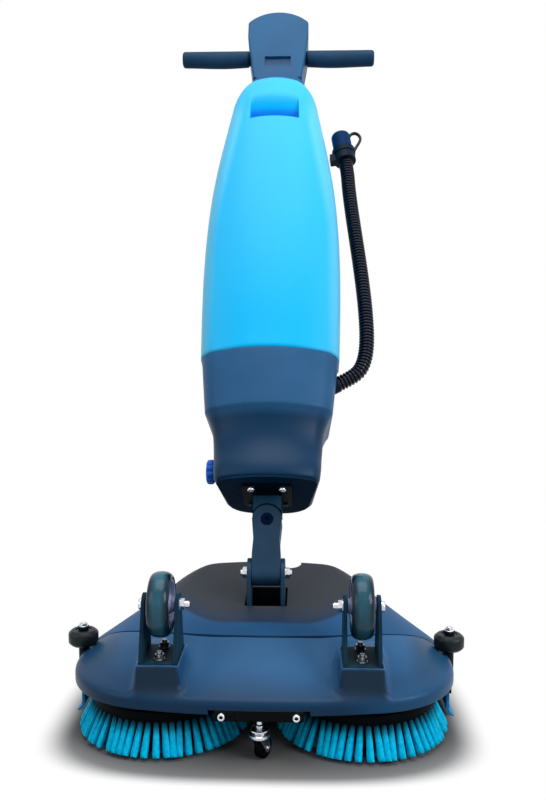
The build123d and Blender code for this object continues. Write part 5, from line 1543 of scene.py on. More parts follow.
@dataclass
class Back:
    """Spine, console and handle behind and above the tank."""

    face: float = 20
    scoop: Four = (24.5, 884, 918, 4.2)
    tool_proud: float = 5
    console_ease: float = 0.8
    handle: Pair = (42, 933)
    grip_ends: Pair = (55.5, 183)
    grip_radius: float = 15
    inner_round: Rows = ((0, -1.6), (0.5, -0.5), (1.6, 0))
    outer_round: Rows = ((-5, 0), (-2.6, -0.5), (-0.9, -1.8), (0, -4))
    grip_margins: Pair = (4, 8)
    grip_rows: int = 33
    grip_steps: int = 72
    grip_sharp: float = 40
    bore: float = 12.6
    swell: float = 3.4
    swell_lean: float = 0.75
    swell_power: float = 1.5

    def console(self, shop: Workshop) -> Object:
        """Console with a scoop under its face and soft edges."""
        piece = shop.copy("console_housing", "console_shell")
        half, low, high, deep = self.scoop
        proud = self.tool_proud
        foot = low - proud * (high - low) / deep
        wedge = np.array([(-proud, high), (deep, high), (-proud, foot)])
        loops = [UPRIGHT.at(x, self.face + wedge[:, 0], wedge[:, 1]) for x in (-half, half)]
        worked(piece, lofted("scoop_tool", loops), Join.CUT)
        return eased(piece, self.console_ease)

    def grip(self, side: Side) -> Object:
        """Rubber grip that swells underneath, open at its inner end."""
        inner, outer = self.grip_ends
        near, far = self.grip_margins
        turn = circle(self.grip_steps)
        under = np.clip(-np.sin(turn), 0, 1) ** 2
        body = [(x, 0) for x in np.linspace(inner + near, outer - far, self.grip_rows)]
        stations = [(inner + x, drawn) for x, drawn in self.inner_round] + body
        stations += [(outer + x, drawn) for x, drawn in self.outer_round]
        rings = [(inner, self.bore)]
        for x, drawn in stations:
            share = (x - inner) / (outer - inner)
            swell = self.swell * math.sin(math.pi * share ** self.swell_lean) ** self.swell_power
            rings.append((x, self.grip_radius + drawn + swell * under))
        v, level = self.handle
        loops = []
        for x, r in rings:
            loops.append(UPRIGHT.at(side.value * x, v + r * np.cos(turn), level + r * np.sin(turn)))
        return lofted(f"{side.word}_rubber_grip", loops, self.grip_sharp)

    def build(self, shop: Workshop) -> None:
        """Make the console and grips and dress what they carry."""
        shop.fit(self.console(shop), CONSOLE, "upright", "base_plastic", "console_housing")
        for side in Side:
            shop.fit(self.grip(side), GRIP, "upright", "grip_rubber", f"{side.word}_grip")
        shop.paint(NAVY, "back_spine")
        shop.paint(BATTERY, "battery_pack")
        shop.paint(DARK, "console_panel", "handle_bar")
        shop.paint(LENS, "display_lens")
        shop.paint(BUTTON, "power_button", "water_button")


@dataclass
class Fasteners:
    """Heads of bolts and nuts, set on their places by one tree."""

    steps: int = 36
    sharp: float = 32
    washer_share: float = 0.63
    washer_height: float = 1.1
    washer_edge: float = 0.3
    chamfer_share: float = 0.515
    chamfer_height: float = 0.9
    thread_gap: float = 0.3
    thread_depth: float = 0.4
    socket_share: float = 0.42
    plug_height: float = 0.3

    def __post_init__(self) -> None:
        """Make the tree that all sets share."""
        self.tree = NodeShape("fastener_set", {"Head": "Object", "Finish": "Material"})
        graph = self.tree.graph
        settings = {"data_type": "FLOAT_VECTOR"}
        facing = graph.term("GeometryNodeInputNamedAttribute", settings, {"Name": "facing"})
        turn = graph.term("FunctionNodeAlignRotationToVector", {"axis": "Z"}, {"Vector": facing})
        self.tree.end(self.tree.placed("Head", {"Points": self.tree.given("Geometry"), "Rotation": turn}))

    def hexagon(self, inner: float) -> Points:
        """Radii of a hexagon all round, from its inner one."""
        sixth = math.tau / 6
        off = (circle(self.steps) + sixth / 2) % sixth - sixth / 2
        return inner / np.cos(off)

    def nut(self, flats: float, height: float, bolt: float, tail: float) -> Object:
        """A hexagon nut on its washer, with the end of its bolt.

        Args:
            flats: width across the flats.
            height: height of the nut.
            bolt: radius of the bolt.
            tail: how far the bolt stands out of the nut.

        Returns:
            The head, about the Z axis.
        """
        hexagon = self.hexagon(flats / 2)
        chamfer = np.minimum(hexagon, self.chamfer_share * flats)
        washer, thick, edge = self.washer_share * flats, self.washer_height, self.washer_edge
        return self.stacked("hexagon_nut", self.steps, [
            (0.5 * washer, 0), (washer, 0), (washer, thick - edge), (washer - edge, thick),
            (hexagon, thick), (hexagon, height - self.chamfer_height), (chamfer, height),
            (bolt + self.thread_gap, height), (bolt, height - self.thread_depth),
            (bolt, height + 0.7 * tail), (0.86 * bolt, height + 0.92 * tail), (0.5 * bolt, height + tail),
        ])

    def cap_screw(self, radius: float, height: float) -> Object:
        """A round screw head with a hexagon socket, about the Z axis."""
        socket = self.hexagon(self.socket_share * radius)
        return self.stacked("socket_screw", self.steps, [
            (0.5 * radius, 0), (radius, 0), (radius, 0.62 * height), (0.95 * radius, 0.84 * height),
            (0.82 * radius, height), (1.12 * socket, height), (socket, height - self.thread_gap),
            (socket, 0.35 * height), (0.2 * socket, 0.3 * height),
        ])

    def plug(self, radius: float) -> Object:
        """A dark hexagon that stands as painted shade in a socket, about the Z axis."""
        core, top = 0.3 * radius, self.plug_height
        return self.stacked("socket_floor", 6, [(core, 0), (radius, 0), (radius, top), (core, top)])

    def stacked(self, name: str, steps: int, rings: list) -> Object:
        """Skin rings about the Z axis, each a radius or radii and a height."""
        turn = circle(steps)
        return lofted(name, [coords(*ring(radius, turn), height) for radius, height in rings], self.sharp)


@dataclass
class Joint:
    """Two-axis joint between the deck and the upright."""

    castings: tuple = (
        ("joint_bracket", "deck", 1.2, CAST), ("swivel_arm", "arm", 1.8, CAST),
        ("swivel_bracket", "upright", 1.4, FLANGED),
    )
    edge_steps: int = 3
    tilt: float = 172
    outer: float = 26.3
    tilt_nut: Four = (14, 6.5, 4.6, 3)
    bolts: Pair = (22, -45)
    bolt_head: Pair = (5, 3.4)
    small_bolts: Pair = (25, 24)
    small_head: Pair = (3.6, 2.6)
    flange: float = 36

    def under(self, x: float, v: float) -> list[Place]:
        """A pair of places on the underside of the upright's flange."""
        down = tuple(-UPRIGHT.along)
        return [(tuple(UPRIGHT.at(side.value * x, v, self.flange)[0]), down) for side in Side]

    def build(self, shop: Workshop) -> None:
        """Round the edges of the castings and set their bolts."""
        heads = shop.fasteners
        for node, body, ease, finish in self.castings:
            piece = shop.copy(node, f"eased_{node}", ease, self.edge_steps)
            shop.fit(piece, finish, body, "cast_joint", node)
        shop.paint(PIN, "roll_pin")
        sides = [(side.at(self.outer, 0, self.tilt), side.at(*SIDEWAYS)) for side in Side]
        nut = heads.nut(*self.tilt_nut)
        shop.fasten("tilt_nuts", nut, sides, PLATED, "deck", "plated_steel", "tilt_pin")
        screw = heads.cap_screw(*self.bolt_head)
        front = self.under(*self.bolts)
        shop.fasten("bracket_screws", screw, front, PLATED, "upright", "plated_steel", "bracket_bolts")
        screw = heads.cap_screw(*self.small_head)
        rear = self.under(*self.small_bolts)
        shop.fasten("rear_bracket_screws", screw, rear, BLACK_STEEL, "upright", "black_steel")


@dataclass
class DeckCovers:
    """Front and rear covers of the deck, cut from one dome.

    Pairs of front, back, corner and tail are for the lip and for the crest. A corner also has the
    number of points on the arc that leads to it.
    """

    front: Pair = (-205, -96)
    back: Pair = (174, 162)
    corners: tuple = (
        ((150, -191), (82, -67), 30), ((246.5, -80), (128, 20), 40),
        ((205, 70), (124, 90), 24), ((128, 155), (98, 148), 17),
    )
    crest_middle: Pair = (0, 35)
    tail_round: Pair = (70, 40)
    lip_bottom: float = 60
    lip_top: float = 76
    lip_edge: float = 1.2
    lip_rows: Pair = (63, 66)
    crest_height: float = 127.5
    crest_rise: float = 4.2
    wall: float = 4
    ceiling: float = 72.4
    lip_ease: float = 7
    crest_ease: float = 16
    slope_rows: int = 26
    top_rows: Row = (0.2, 0.45, 0.7, 0.9)
    sharp: float = 40
    seam_front: float = -109.5
    seam_end: Pair = (215, -30)
    seam_gap: float = 3.2
    seat_x: float = 123
    seat_half: float = 26.5
    seat_front: float = -186
    seat_back: float = -96
    seat_top: float = 111
    seat_corner: float = 5
    seat_edge: float = 2.4
    seat_fillet: float = 10
    seat_draft: float = 1.4
    seat_steps: Row = (
        -0.25, -0.7, -1.3, -2.4, -4, 0, 0.35, 0.7, 1.05, 1.4, 2, 3, 4.4, 6.2, 8.4, 11.6, 15,
    )
    seat_rows: Triple = (-176, -90, 5)
    seat_zone: Triple = (180, -70, 73)
    seat_band: Pair = (70, 180)
    pocket: Four = (24.2, -181.2, -113.8, 4)
    pocket_edge: Pair = (-0.25, 0.25)
    dip: Triple = (72, -145, 2.6)
    dip_size: Pair = (20, 34)
    slot: Triple = (29, -25, 44)
    slot_corner: float = 4
    notch: Triple = (28, 20, 52)
    notch_past: float = 20
    bar_room: Rows = ((-60.3, 60.3), (-230, -188), (40, 66.3))
    tool_far: float = 400
    tool_height: Pair = (0, 300)

    @staticmethod
    def tangent_arc(start: Points, heading: Points, end: Points, count: int) -> tuple[Points, Points]:
        """An arc that leaves a point in a direction and meets another point.

        Args:
            start: first point.
            heading: direction at the first point.
            end: last point.
            count: number of points.

        Returns:
            The points, and the direction at the last one.
        """
        chord = end - start
        span = np.linalg.norm(chord)
        way = chord / span
        turn = math.atan2(heading[0] * way[1] - heading[1] * way[0], heading @ way)
        leave = 2 * (heading @ way) * way - heading
        radius = span / (2 * math.sin(turn))
        left = np.array([-heading[1], heading[0]])
        angle = 2 * turn * np.linspace(0, 1, count)
        along = radius * np.sin(angle)
        aside = radius * (1 - np.cos(angle))
        return start + along[:, None] * heading + aside[:, None] * left, leave

    def outline(self, edge: Edge) -> Points:
        """Plan of the dome at one of its edges, as a closed loop."""
        at = edge.value
        start = np.array([0, self.front[at]])
        heading = np.array([1, 0])
        parts = []
        for *places, count in self.corners:
            end = np.array(places[at])
            points, heading = self.tangent_arc(start, heading, end, count)
            parts.append(points)
            start = end
        rim = bowed(*start, self.back[at], 41)[:19:-1]
        hip, bend, rim = rounded(parts[-1], rim, self.tail_round[at], 13)
        return mirrored(chained(*parts[:-1], hip, bend, rim))

    @staticmethod
    def inset(loop: Points, amount: float) -> Points:
        """Draw a loop in by an amount."""
        along = unit(np.roll(loop, -1, 0) - np.roll(loop, 1, 0))
        return loop + amount * coords(-along[:, 1], along[:, 0])

    def crest(self, loop: Points) -> Points:
        """Lift a plan loop onto the plane of the flat top."""
        rise = math.radians(self.crest_rise)
        front = self.front[Edge.CREST.value]
        away = loop[:, 1] - front
        return coords(loop[:, 0], front + away * math.cos(rise), self.crest_height + away * math.sin(rise))

    @staticmethod
    def bent(before: Points, corner: Points, after: Points, ease: float, count: int) -> list[Points]:
        """Rows that round a corner of every column's profile.

        Args:
            before: row that the profile comes from.
            corner: row of the corners.
            after: row that the profile goes to.
            ease: how far from the corner the round starts.
            count: number of rows.

        Returns:
            The rows of the round.
        """
        ends = []
        for way in (before - corner, after - corner):
            size = np.linalg.norm(way, axis=1)[:, None]
            ends.append(corner + way / size * np.minimum(ease, 0.45 * size))
        first, last = ends
        shares = np.linspace(0, 1, count)
        return [(1 - t) ** 2 * first + 2 * t * (1 - t) * corner + t ** 2 * last for t in shares]

    def dome(self, name: str) -> Object:
        """The whole dome with a soft lip and crest, hollow below."""
        low = self.outline(Edge.LIP)

        def level(amount: float, height: float) -> Points:
            """The lip's plan, drawn in by an amount, at a height."""
            return coords(*self.inset(low, amount).T, height)

        brim = level(0, self.lip_top)
        top = self.crest(self.outline(Edge.CREST))
        middle = self.crest(np.tile(self.crest_middle, (len(top), 1)))
        foot, edge = self.lip_bottom, self.lip_edge
        rows = [level(self.wall, self.ceiling), level(self.wall, foot + edge), level(self.wall - 1, foot)]
        rows += [level(1, foot), level(0.3, foot + 0.35), level(0, foot + edge)]
        rows += [level(0, height) for height in self.lip_rows]
        rows += self.bent(level(0, foot), brim, top, self.lip_ease, 7)
        bend = self.bent(brim, top, middle, self.crest_ease, 9)
        start = rows[-1]
        rows += [start + (bend[0] - start) * t for t in np.linspace(0, 1, self.slope_rows)[1:-1]]
        rows += bend
        rows += [bend[-1] + (middle - bend[-1]) * t for t in self.top_rows]
        return lofted(name, rows, self.sharp)

    def seat_lines(self) -> list[tuple[int, float]]:
        """Lines that divide the dome for the seats: the axis they cross, and where."""
        lines = []
        for side in Side:
            middle = side.value * self.seat_x
            for out in (1, -1):
                lines += [(0, middle + out * (self.seat_half + away)) for away in self.seat_steps]
            for edge in (-self.pocket[0], self.pocket[0]):
                lines += [(0, middle + edge + away) for away in self.pocket_edge]
        lines += [(1, self.seat_front - away) for away in self.seat_steps]
        for edge in self.pocket[1:3]:
            lines += [(1, edge + away) for away in self.pocket_edge]
        return lines + [(1, y) for y in np.arange(*self.seat_rows)]

    def seat_height(self, x: float, y: float, base: float) -> float:
        """Height of the cover at a place of the front.

        Args:
            x: place sideways.
            y: place ahead or behind.
            base: the dome's own height there.

        Returns:
            The height with its dip, its seat and the seat's pocket.
        """
        across = abs(abs(x) - self.seat_x)
        middle = (self.seat_front + self.seat_back) / 2
        length = (self.seat_back - self.seat_front) / 2
        dx = across - self.seat_half + self.seat_corner
        dy = abs(y - middle) - length + self.seat_corner
        away = math.hypot(max(dx, 0), max(dy, 0)) + min(max(dx, dy), 0) - self.seat_corner
        dip_x, dip_y, depth = self.dip
        wide, long = self.dip_size
        height = base - depth * math.exp(-((abs(x) - dip_x) / wide) ** 2 - ((y - dip_y) / long) ** 2)
        rise = self.seat_top - height
        if rise <= 0:
            return height
        share = min(1, rise / (self.seat_edge + self.seat_fillet))
        edge = self.seat_edge * share
        fillet = self.seat_fillet * share
        if away <= -edge:
            height = self.seat_top
        elif away <= 0:
            height = self.seat_top - edge + math.sqrt(edge ** 2 - (away + edge) ** 2)
        elif away <= self.seat_draft:
            low = height + fillet
            height = self.seat_top - edge + (low - self.seat_top + edge) * away / self.seat_draft
        elif away < self.seat_draft + fillet:
            height += fillet - math.sqrt(fillet ** 2 - (fillet - away + self.seat_draft) ** 2)
        half, near, far, depth = self.pocket
        if across < half and near < y < far:
            height = min(height, self.seat_top - depth)
        return height

    def divide(self, work: bmesh.types.BMesh, axis: int, where: float) -> None:
        """Divide the faces of the seats' zone on a plane across an axis."""
        _, back, foot = self.seat_zone
        inner, outer = self.seat_band
        parts = set()
        for face in work.faces:
            middle = face.calc_center_median() / MM
            if middle.y >= back or middle.z <= foot:
                continue
            if axis and not inner < abs(middle.x) < outer:
                continue
            sides = [vertex.co[axis] / MM for vertex in face.verts]
            if min(sides) < where < max(sides):
                parts.update([face, *face.edges, *face.verts])
        way = Vector(np.eye(3)[axis])
        bmesh.ops.bisect_plane(work, geom=list(parts), dist=1e-7, plane_co=way * where * MM, plane_no=way)

    def seats(self, dome: Object) -> None:
        """Raise the seats of the wheel forks out of the dome."""
        work = bmesh.new()
        work.from_mesh(dome.data)
        for axis, where in self.seat_lines():
            self.divide(work, axis, where)
        side, back, foot = self.seat_zone
        for vertex in work.verts:
            x, y, z = vertex.co / MM
            if y < back and z > foot and abs(x) < side:
                vertex.co.z = self.seat_height(x, y, z) * MM
        bmesh.ops.recalc_face_normals(work, faces=work.faces)
        work.to_mesh(dome.data)
        work.free()

    def front_side(self, gap: float) -> Object:
        """Tool that takes in all in front of the seam, moved back by a gap."""
        x, y = self.seam_end
        seam = bowed(x, y, self.seam_front, 61)
        far = self.tool_far
        plan = np.vstack([seam, [(far, y), (far, -far), (-far, -far), (-far, y)]])
        return block("cover_tool", plan + np.array([0, gap]), self.tool_height)

    def openings(self) -> list[Object]:
        """Tools for the joint's slot and the hose's notch in the rear cover."""
        half, near, far = self.slot
        ends = ((0, near), (half, near), (half, far), (0, far))
        first, side, third = (line(*pair) for pair in zip(ends, ends[1:]))
        first, bend, side = rounded(first, side, self.slot_corner, 6)
        side, back_bend, third = rounded(side, third, self.slot_corner, 6)
        slot = mirrored(chained(first[[0, -1]], bend, side[[0, -1]], back_bend, third[[0, -1]]))
        x, half, depth = self.notch
        back = self.back[Edge.LIP.value]
        turn = np.linspace(0, -math.pi, 25)
        cup = coords(x + half * np.cos(turn), back - depth + half + half * np.sin(turn))
        past = back + self.notch_past
        notch = np.vstack([[(x + half, past)], cup, [(x - half, past)]])
        return [block("cover_tool", plan, self.tool_height) for plan in (slot, notch)]

    def build(self, shop: Workshop) -> None:
        """Cut both covers from the dome and dress them."""
        rear = self.dome("rear_deck_cover")
        worked(rear, self.front_side(self.seam_gap / 2), Join.CUT)
        for tool in self.openings():
            worked(rear, tool, Join.CUT)
        smooth(rear, self.sharp)
        front = self.dome("front_deck_cover")
        self.seats(front)
        worked(front, self.front_side(-self.seam_gap / 2), Join.KEEP)
        worked(front, box("cover_tool", *self.bar_room), Join.CUT)
        smooth(front, self.sharp)
        shop.fit(front, DECK_NAVY, "deck", "cover_plastic", "front_cover")
        shop.fit(rear, DECK_REAR, "deck", "cover_plastic", "rear_cover")


@dataclass
class Wheels:
    """Transport wheels in their forks."""

    centre: Triple = (123, -145, 174)
    radius: float = 40
    half: float = 13.6
    rim: float = 31
    rim_proud: float = 0.8
    rim_step: float = 0.6
    crown_steps: int = 15
    crown_powers: Pair = (0.9, 0.95)
    hub_dish: Rows = (
        (5.1, 17.5), (8.6, 17.5), (9, 17), (9.2, 13.4), (10.8, 12.8), (12.2, 8.6), (13.6, 7.4),
        (24.6, 6.8), (26.6, 7.6),
    )
    hub_rim: Rows = ((27.4, -1.4), (28.2, -0.7), (30.4, -0.7), (31, -1.4))
    fork_half: float = 23
    fork_ease: float = 1.2
    axle_nut: Four = (12.6, 6, 4.2, 6.6)
    axle_head: Pair = (7, 5)
    floor: float = 111.5
    bolt_rows: Pair = (-163, -123)
    fork_nut: Four = (11, 6.5, 3.6, 3.4)

    def tyre_profile(self) -> Points:
        """The tyre's section, rounded over its crown, as radius and offset."""
        turn = np.linspace(0, math.pi / 2, self.crown_steps)
        wide, tall = self.crown_powers
        low = self.rim + self.rim_proud
        rise = (self.radius - low) * np.cos(turn) ** tall
        crown = coords(low + rise, self.half * np.sin(turn) ** wide)
        seat = self.half - self.rim_step
        return np.vstack([crown[:0:-1] * (1, -1), crown, [(self.rim, seat), (self.rim, -seat)]])

    def hub_profile(self) -> Points:
        """Section of the hub with its dished face and bearing."""
        side = np.array([*self.hub_dish, *((radius, self.half + step) for radius, step in self.hub_rim)])
        return np.vstack([side, side[::-1] * (1, -1)])

    def build(self, shop: Workshop) -> None:
        """Make tyres, hubs, nuts and forks."""
        heads = shop.fasteners
        plated = (PLATED, "deck", "plated_steel")
        x, y, z = self.centre
        seats = []
        for side in Side:
            place = side.at(x, y, z)
            word = side.word
            tyre = turned(f"{word}_tread", self.tyre_profile(), place, SIDEWAYS, count=96, sharp=40)
            shop.fit(tyre, TYRE, f"{word}_wheel", "tyre", f"{word}_wheel_tyre")
            hub = turned(f"{word}_dished_hub", self.hub_profile(), place, SIDEWAYS, count=72, sharp=32)
            shop.fit(hub, HUB, f"{word}_wheel", "hub_plastic", f"{word}_wheel_hub")
            fork = shop.copy(f"{word}_wheel_fork", f"{word}_eased_fork", self.fork_ease, 3)
            shop.fit(fork, FORK, "deck", "fork_steel", f"{word}_wheel_fork")
            inner = [(side.at(x - self.fork_half, y, z), side.at(-1, 0, 0))]
            outer = [(side.at(x + self.fork_half, y, z), side.at(1, 0, 0))]
            nut = heads.nut(*self.axle_nut)
            shop.fasten(f"{word}_axle_nut", nut, inner, *plated, f"{word}_wheel_axle")
            head = heads.cap_screw(*self.axle_head)
            shop.fasten(f"{word}_axle_head", head, outer, *plated)
            seats += [(side.at(x, row, self.floor), UP) for row in self.bolt_rows]
        nut = heads.nut(*self.fork_nut)
        shop.fasten("fork_nuts", nut, seats, DULL_STEEL, "deck", "plated_steel", "deck_bolts")


@dataclass
class Fittings:
    """Rollers, cross-member, caster, squeegee and what the covers hide."""

    roller: Triple = (246.5, -45, 83.5)
    roller_profile: Rows = (
        (5.2, 0), (14.5, 0), (16, 0.4), (19.2, 3.4), (20, 5.2), (20, 15.8), (19.2, 17.6),
        (15.6, 20.6), (13, 21), (11, 21), (10.4, 19.8), (5.2, 19.8),
    )
    post_top: float = 108.8
    post_nut: Four = (10, 4, 3, 1.6)
    lip_bolts: Triple = (44, -205, 60)
    lip_head: Pair = (4.8, 4.4)
    lip_socket: float = 2
    socket_out: float = 3.4
    blade_half: float = 243
    blade_back: float = 98
    blade_bend: float = 120
    blade_height: float = 40
    blade_thick: float = 3.5
    flare: float = 7
    flare_height: float = 9
    flare_power: float = 1.6
    blades: tuple = (
        ("outer_wiper", "rear_squeegee_blade", -66, 0),
        ("inner_wiper", "front_squeegee_blade", -24, 16),
    )
    bar_box: Rows = ((-53, 53), (-205, -176), (53, 66))
    bar_ease: float = 2
    caster_place: Pair = (0, -190)
    caster_ease: float = 0.6
    stem_top: float = 53.3
    stem_nut: Four = (12, 3.4, 3.8, 0.6)
    race: Rows = (
        (0, 29.8), (4, 29.8), (9, 29.8), (12, 30.2), (12.8, 31.4), (12.6, 32.8), (11.6, 33.6),
        (8.6, 33.8), (8, 34.4), (8, 35.8), (8.6, 36.4), (10.8, 36.6), (11.5, 37.4), (11.2, 38.6),
        (9.8, 39.4), (5.2, 39.8), (4.4, 40.4), (4.4, 42.4), (5.6, 42.9), (5.8, 43.8), (5, 44.6),
        (3.9, 45), (3.7, 46), (3.7, 53.3), (0, 53.3),
    )
    disc_place: Triple = (127, -93, 0)
    disc: Rows = (
        (12, 40), (90, 40), (91.6, 40.6), (92.4, 42), (92.4, 50), (91, 53), (88, 54.5),
        (38, 56), (34, 58.5), (34, 65.2), (12, 65.2),
    )
    sharp: float = 30

    def rollers(self, shop: Workshop) -> None:
        """Chamfered rollers with a bright bolt on top."""
        x, y, low = self.roller
        for side in Side:
            name = f"{side.word}_soft_roller"
            roller = turned(name, self.roller_profile, side.at(x, y, low), UP, 72, self.sharp)
            shop.fit(roller, ROLLER, f"{side.word}_roller", "roller_rubber", f"{side.word}_bumper_roller")
        tops = [(side.at(x, y, self.post_top), UP) for side in Side]
        nut = shop.fasteners.nut(*self.post_nut)
        shop.fasten("roller_bolts", nut, tops, PLATED, "deck", "plated_steel")
        shop.paint(BLACK_STEEL, "roller_posts")

    def blade(self, name: str, front: float, drawn: float) -> Object:
        """A rubber strip round the back of the deck, with its foot curled outwards.

        Args:
            name: name of the piece.
            front: where its two ends are.
            drawn: how far it lies inside the outer blade.

        Returns:
            The blade.
        """
        half = self.blade_half - drawn
        back = self.blade_back - drawn
        corner = self.blade_bend - drawn
        side = line((half, front), (half, back - corner), 3)
        turn = np.linspace(0, math.pi / 2, 25)
        bend = np.array([half - corner, back - corner]) + coords(*ring(corner, turn))
        right = np.vstack([side[:-1], bend])
        plan = np.vstack([right, right[::-1] * (-1, 1)])
        ahead = unit(np.gradient(plan, axis=0))
        out = coords(ahead[:, 1], -ahead[:, 0])
        thick = self.blade_thick / 2
        drop = np.linspace(0, 1, 7)
        curl = self.flare * drop ** self.flare_power
        height = self.flare_height * (1 - drop)
        face = coords(thick + curl, height)
        rear = coords(curl - thick, height)[::-1]
        profile = np.vstack([[(-thick, self.blade_height), (thick, self.blade_height)], face, rear])
        loops = [coords(*(p + profile[:, :1] * o).T, profile[:, 1]) for p, o in zip(plan, out)]
        return lofted(name, loops, sharp=40)

    def squeegee(self, shop: Workshop) -> None:
        """Both blades of the squeegee."""
        for name, node, front, drawn in self.blades:
            shop.fit(self.blade(name, front, drawn), BLADE, "deck", "blade_rubber", node)

    def lip_screws(self, shop: Workshop) -> None:
        """Screws at the front of the cross-member, with dark plugs as painted shade in their sockets."""
        heads = shop.fasteners
        x, y, z = self.lip_bolts
        screws = [(side.at(x, y, z), FORWARDS) for side in Side]
        head = heads.cap_screw(*self.lip_head)
        shop.fasten("lip_screws", head, screws, PLATED, "deck", "plated_steel")
        # Dark plugs in the sockets, as painted shade.
        sockets = [(side.at(x, y - self.socket_out, z), FORWARDS) for side in Side]
        plug = heads.plug(self.lip_socket)
        shop.fasten("lip_sockets", plug, sockets, BLACK_STEEL, "deck", "black_steel")

    def caster(self, shop: Workshop) -> None:
        """Stem with its nut and race, fork and wheel of the swivel caster."""
        x, y = self.caster_place
        race = turned("caster_race", self.race, (x, y, 0), UP, 48, self.sharp)
        shop.fit(race, PLATED, "deck", "plated_steel", "caster_stem")
        nut = shop.fasteners.nut(*self.stem_nut)
        top = [((x, y, self.stem_top), DOWN)]
        shop.fasten("caster_nut", nut, top, DULL_STEEL, "deck", "plated_steel")
        fork = shop.copy("caster_fork", "eased_caster_fork", self.caster_ease)
        shop.fit(fork, PLATED, "caster", "plated_steel", "caster_fork")
        shop.paint(BLOCK, "caster_wheel")

    def discs(self, shop: Workshop) -> None:
        """Blocks that carry the bristles, with what drives them."""
        for side in Side:
            shop.paint(IRON, f"{side.word}_brush_motor", f"{side.word}_drive_shaft")
            disc = turned(f"{side.word}_disc", self.disc, side.at(*self.disc_place), UP, 96, self.sharp)
            shop.fit(disc, BLOCK, f"{side.word}_brush", "brush_plastic", f"{side.word}_brush_block")

    def build(self, shop: Workshop) -> None:
        """Make and dress the pieces."""
        self.rollers(shop)
        self.squeegee(shop)
        self.lip_screws(shop)
        bar = eased(box("cross_member", *self.bar_box), self.bar_ease, 3)
        shop.fit(bar, CHASSIS, "deck", "chassis_steel", "front_crossbar")
        shop.paint(CHASSIS, "deck_chassis", "squeegee_frame", "suction_port")
        self.caster(shop)
        self.discs(shop)


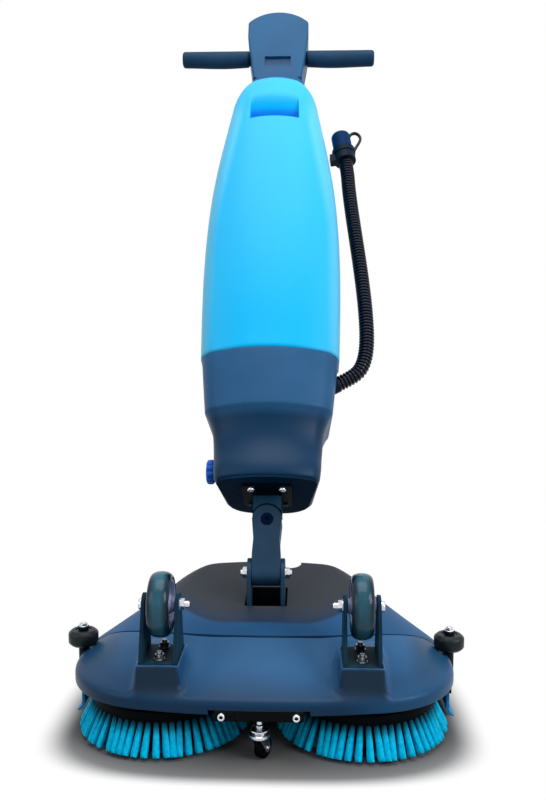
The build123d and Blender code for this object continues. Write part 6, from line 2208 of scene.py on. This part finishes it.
@dataclass
class Brushes:
    """Two disc brushes, each with rings of nylon tufts."""

    centre: Pair = (127, -93)
    rings: Rows = ((61, 89), (53, 77), (46, 65), (38, 53), (29, 41))
    length: float = 40
    sink: float = 1
    tip_radius: float = 113.4
    root_half: float = 3.4
    middle_half: float = 4.1
    tip_half: float = 4.8
    end_share: float = 0.92
    drops: Row = (0, 0.45, 0.88, 0.98)
    flutes: int = 7
    flute_share: float = 0.84
    uneven: float = 0.05
    ragged: Pair = (-0.5, 0.9)
    sway: Triple = (0.009, 0.009, 0.3)
    sharp: float = 70
    seed: int = 7

    def tuft(self) -> Object:
        """One fluted tuft that hangs from the origin, wider at its tip."""
        rng = np.random.default_rng(self.seed)
        steps = 2 * self.flutes
        turn = circle(steps)
        flute = np.where(np.arange(steps) % 2, self.flute_share, 1)
        full = self.length + self.sink
        halves = (self.root_half, self.middle_half, self.tip_half, self.end_share * self.tip_half)
        loops = []
        for drop, half in zip(self.drops, halves):
            radius = half * flute * (1 + rng.uniform(-self.uneven, self.uneven, steps))
            height = np.full(steps, -full * drop)
            if drop == self.drops[-1]:
                height -= rng.uniform(*self.ragged, steps)
            loops.append(coords(*ring(radius, turn), height))
        faces = loft_faces(len(loops), steps, caps=False)
        last = (len(loops) - 1) * steps
        faces += [(last + k, last + (k + 1) % steps, last + steps) for k in range(steps)]
        return solid("bristle_tuft", np.vstack([*loops, [(0, 0, -full)]]), faces, self.sharp)

    def tree(self) -> NodeShape:
        """Tree that hangs tufts round a ring, leaning outwards."""
        shape = NodeShape("bristle_ring", {
            "Count": "Int", "Radius": "Float", "Lean": "Float", "Tuft": "Object", "Seed": "Int",
            "Finish": "Material",
        })
        graph = shape.graph
        sockets = {"Vertices": shape.given("Count"), "Radius": shape.given("Radius")}
        points = graph.term("GeometryNodeMeshCircle", None, sockets)
        settings = {"primary_axis": "X", "secondary_axis": "Z"}
        sockets = {"Primary Axis": graph.term("GeometryNodeInputPosition"), "Secondary Axis": UP}
        outward = graph.term("FunctionNodeAxesToRotation", settings, sockets)
        sockets = {0: tuple(-most for most in self.sway), 1: self.sway, "Seed": shape.given("Seed")}
        sway = graph.term("FunctionNodeRandomValue", {"data_type": "FLOAT_VECTOR"}, sockets)
        tilt = graph.term("ShaderNodeCombineXYZ", None, {1: shape.given("Lean")})
        lean = graph.term("ShaderNodeVectorMath", {"operation": "ADD"}, {0: sway, 1: tilt})
        sockets = {"Rotation": outward, "Rotate By": lean}
        turn = graph.term("FunctionNodeRotateRotation", {"rotation_space": "LOCAL"}, sockets)
        shape.end(shape.placed("Tuft", {"Points": points, "Rotation": turn}))
        return shape

    def bristles(self, tree: NodeShape, side: Side) -> Object:
        """All tufts of one brush in one mesh that ends at the floor."""
        spread = (self.tip_radius - self.tip_half) / self.rings[0][1]
        tuft = self.tuft()
        points = []
        faces = []
        for number, (count, radius) in enumerate(self.rings):
            seed = solid("ring_seed", np.zeros((1, 3)), [])
            values = {
                "Count": count, "Radius": radius * MM, "Tuft": tuft, "Seed": self.seed + number,
                "Lean": -math.atan2(radius * (spread - 1), self.length), "Finish": BRISTLE.material(),
            }
            part = tree.grow(f"ring_{number}", seed, values)
            start = len(points)
            points += [vertex.co[:] for vertex in part.data.vertices]
            faces += [tuple(start + i for i in face.vertices) for face in part.data.polygons]
            bpy.data.objects.remove(part)
        bpy.data.objects.remove(tuft)
        place = np.array(points) / MM + side.at(*self.centre, self.length + self.sink)
        place[:, 2] = np.maximum(place[:, 2], 0)
        return solid(f"{side.word}_nylon_bristles", place, faces, self.sharp)

    def build(self, shop: Workshop) -> None:
        """Make the tufts of both brushes."""
        tree = self.tree()
        for side in Side:
            piece = self.bristles(tree, side)
            shop.fit(piece, BRISTLE, f"{side.word}_brush", "bristle", f"{side.word}_bristles")


def main() -> None:
    """Load the solids, build the classes in order and report each piece."""
    logging.basicConfig(level=logging.INFO, format="%(message)s", stream=sys.stdout)
    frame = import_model()
    shop = Workshop(frame)
    Studio().build()
    for part in (DrainHose, Tank, Base, Back, Joint, DeckCovers, Wheels, Fittings, Brushes):
        part().build(shop)
    bpy.context.view_layer.update()
    LOG.info("%d new pieces", len(shop.pieces))


if __name__ == "__main__":
    main()
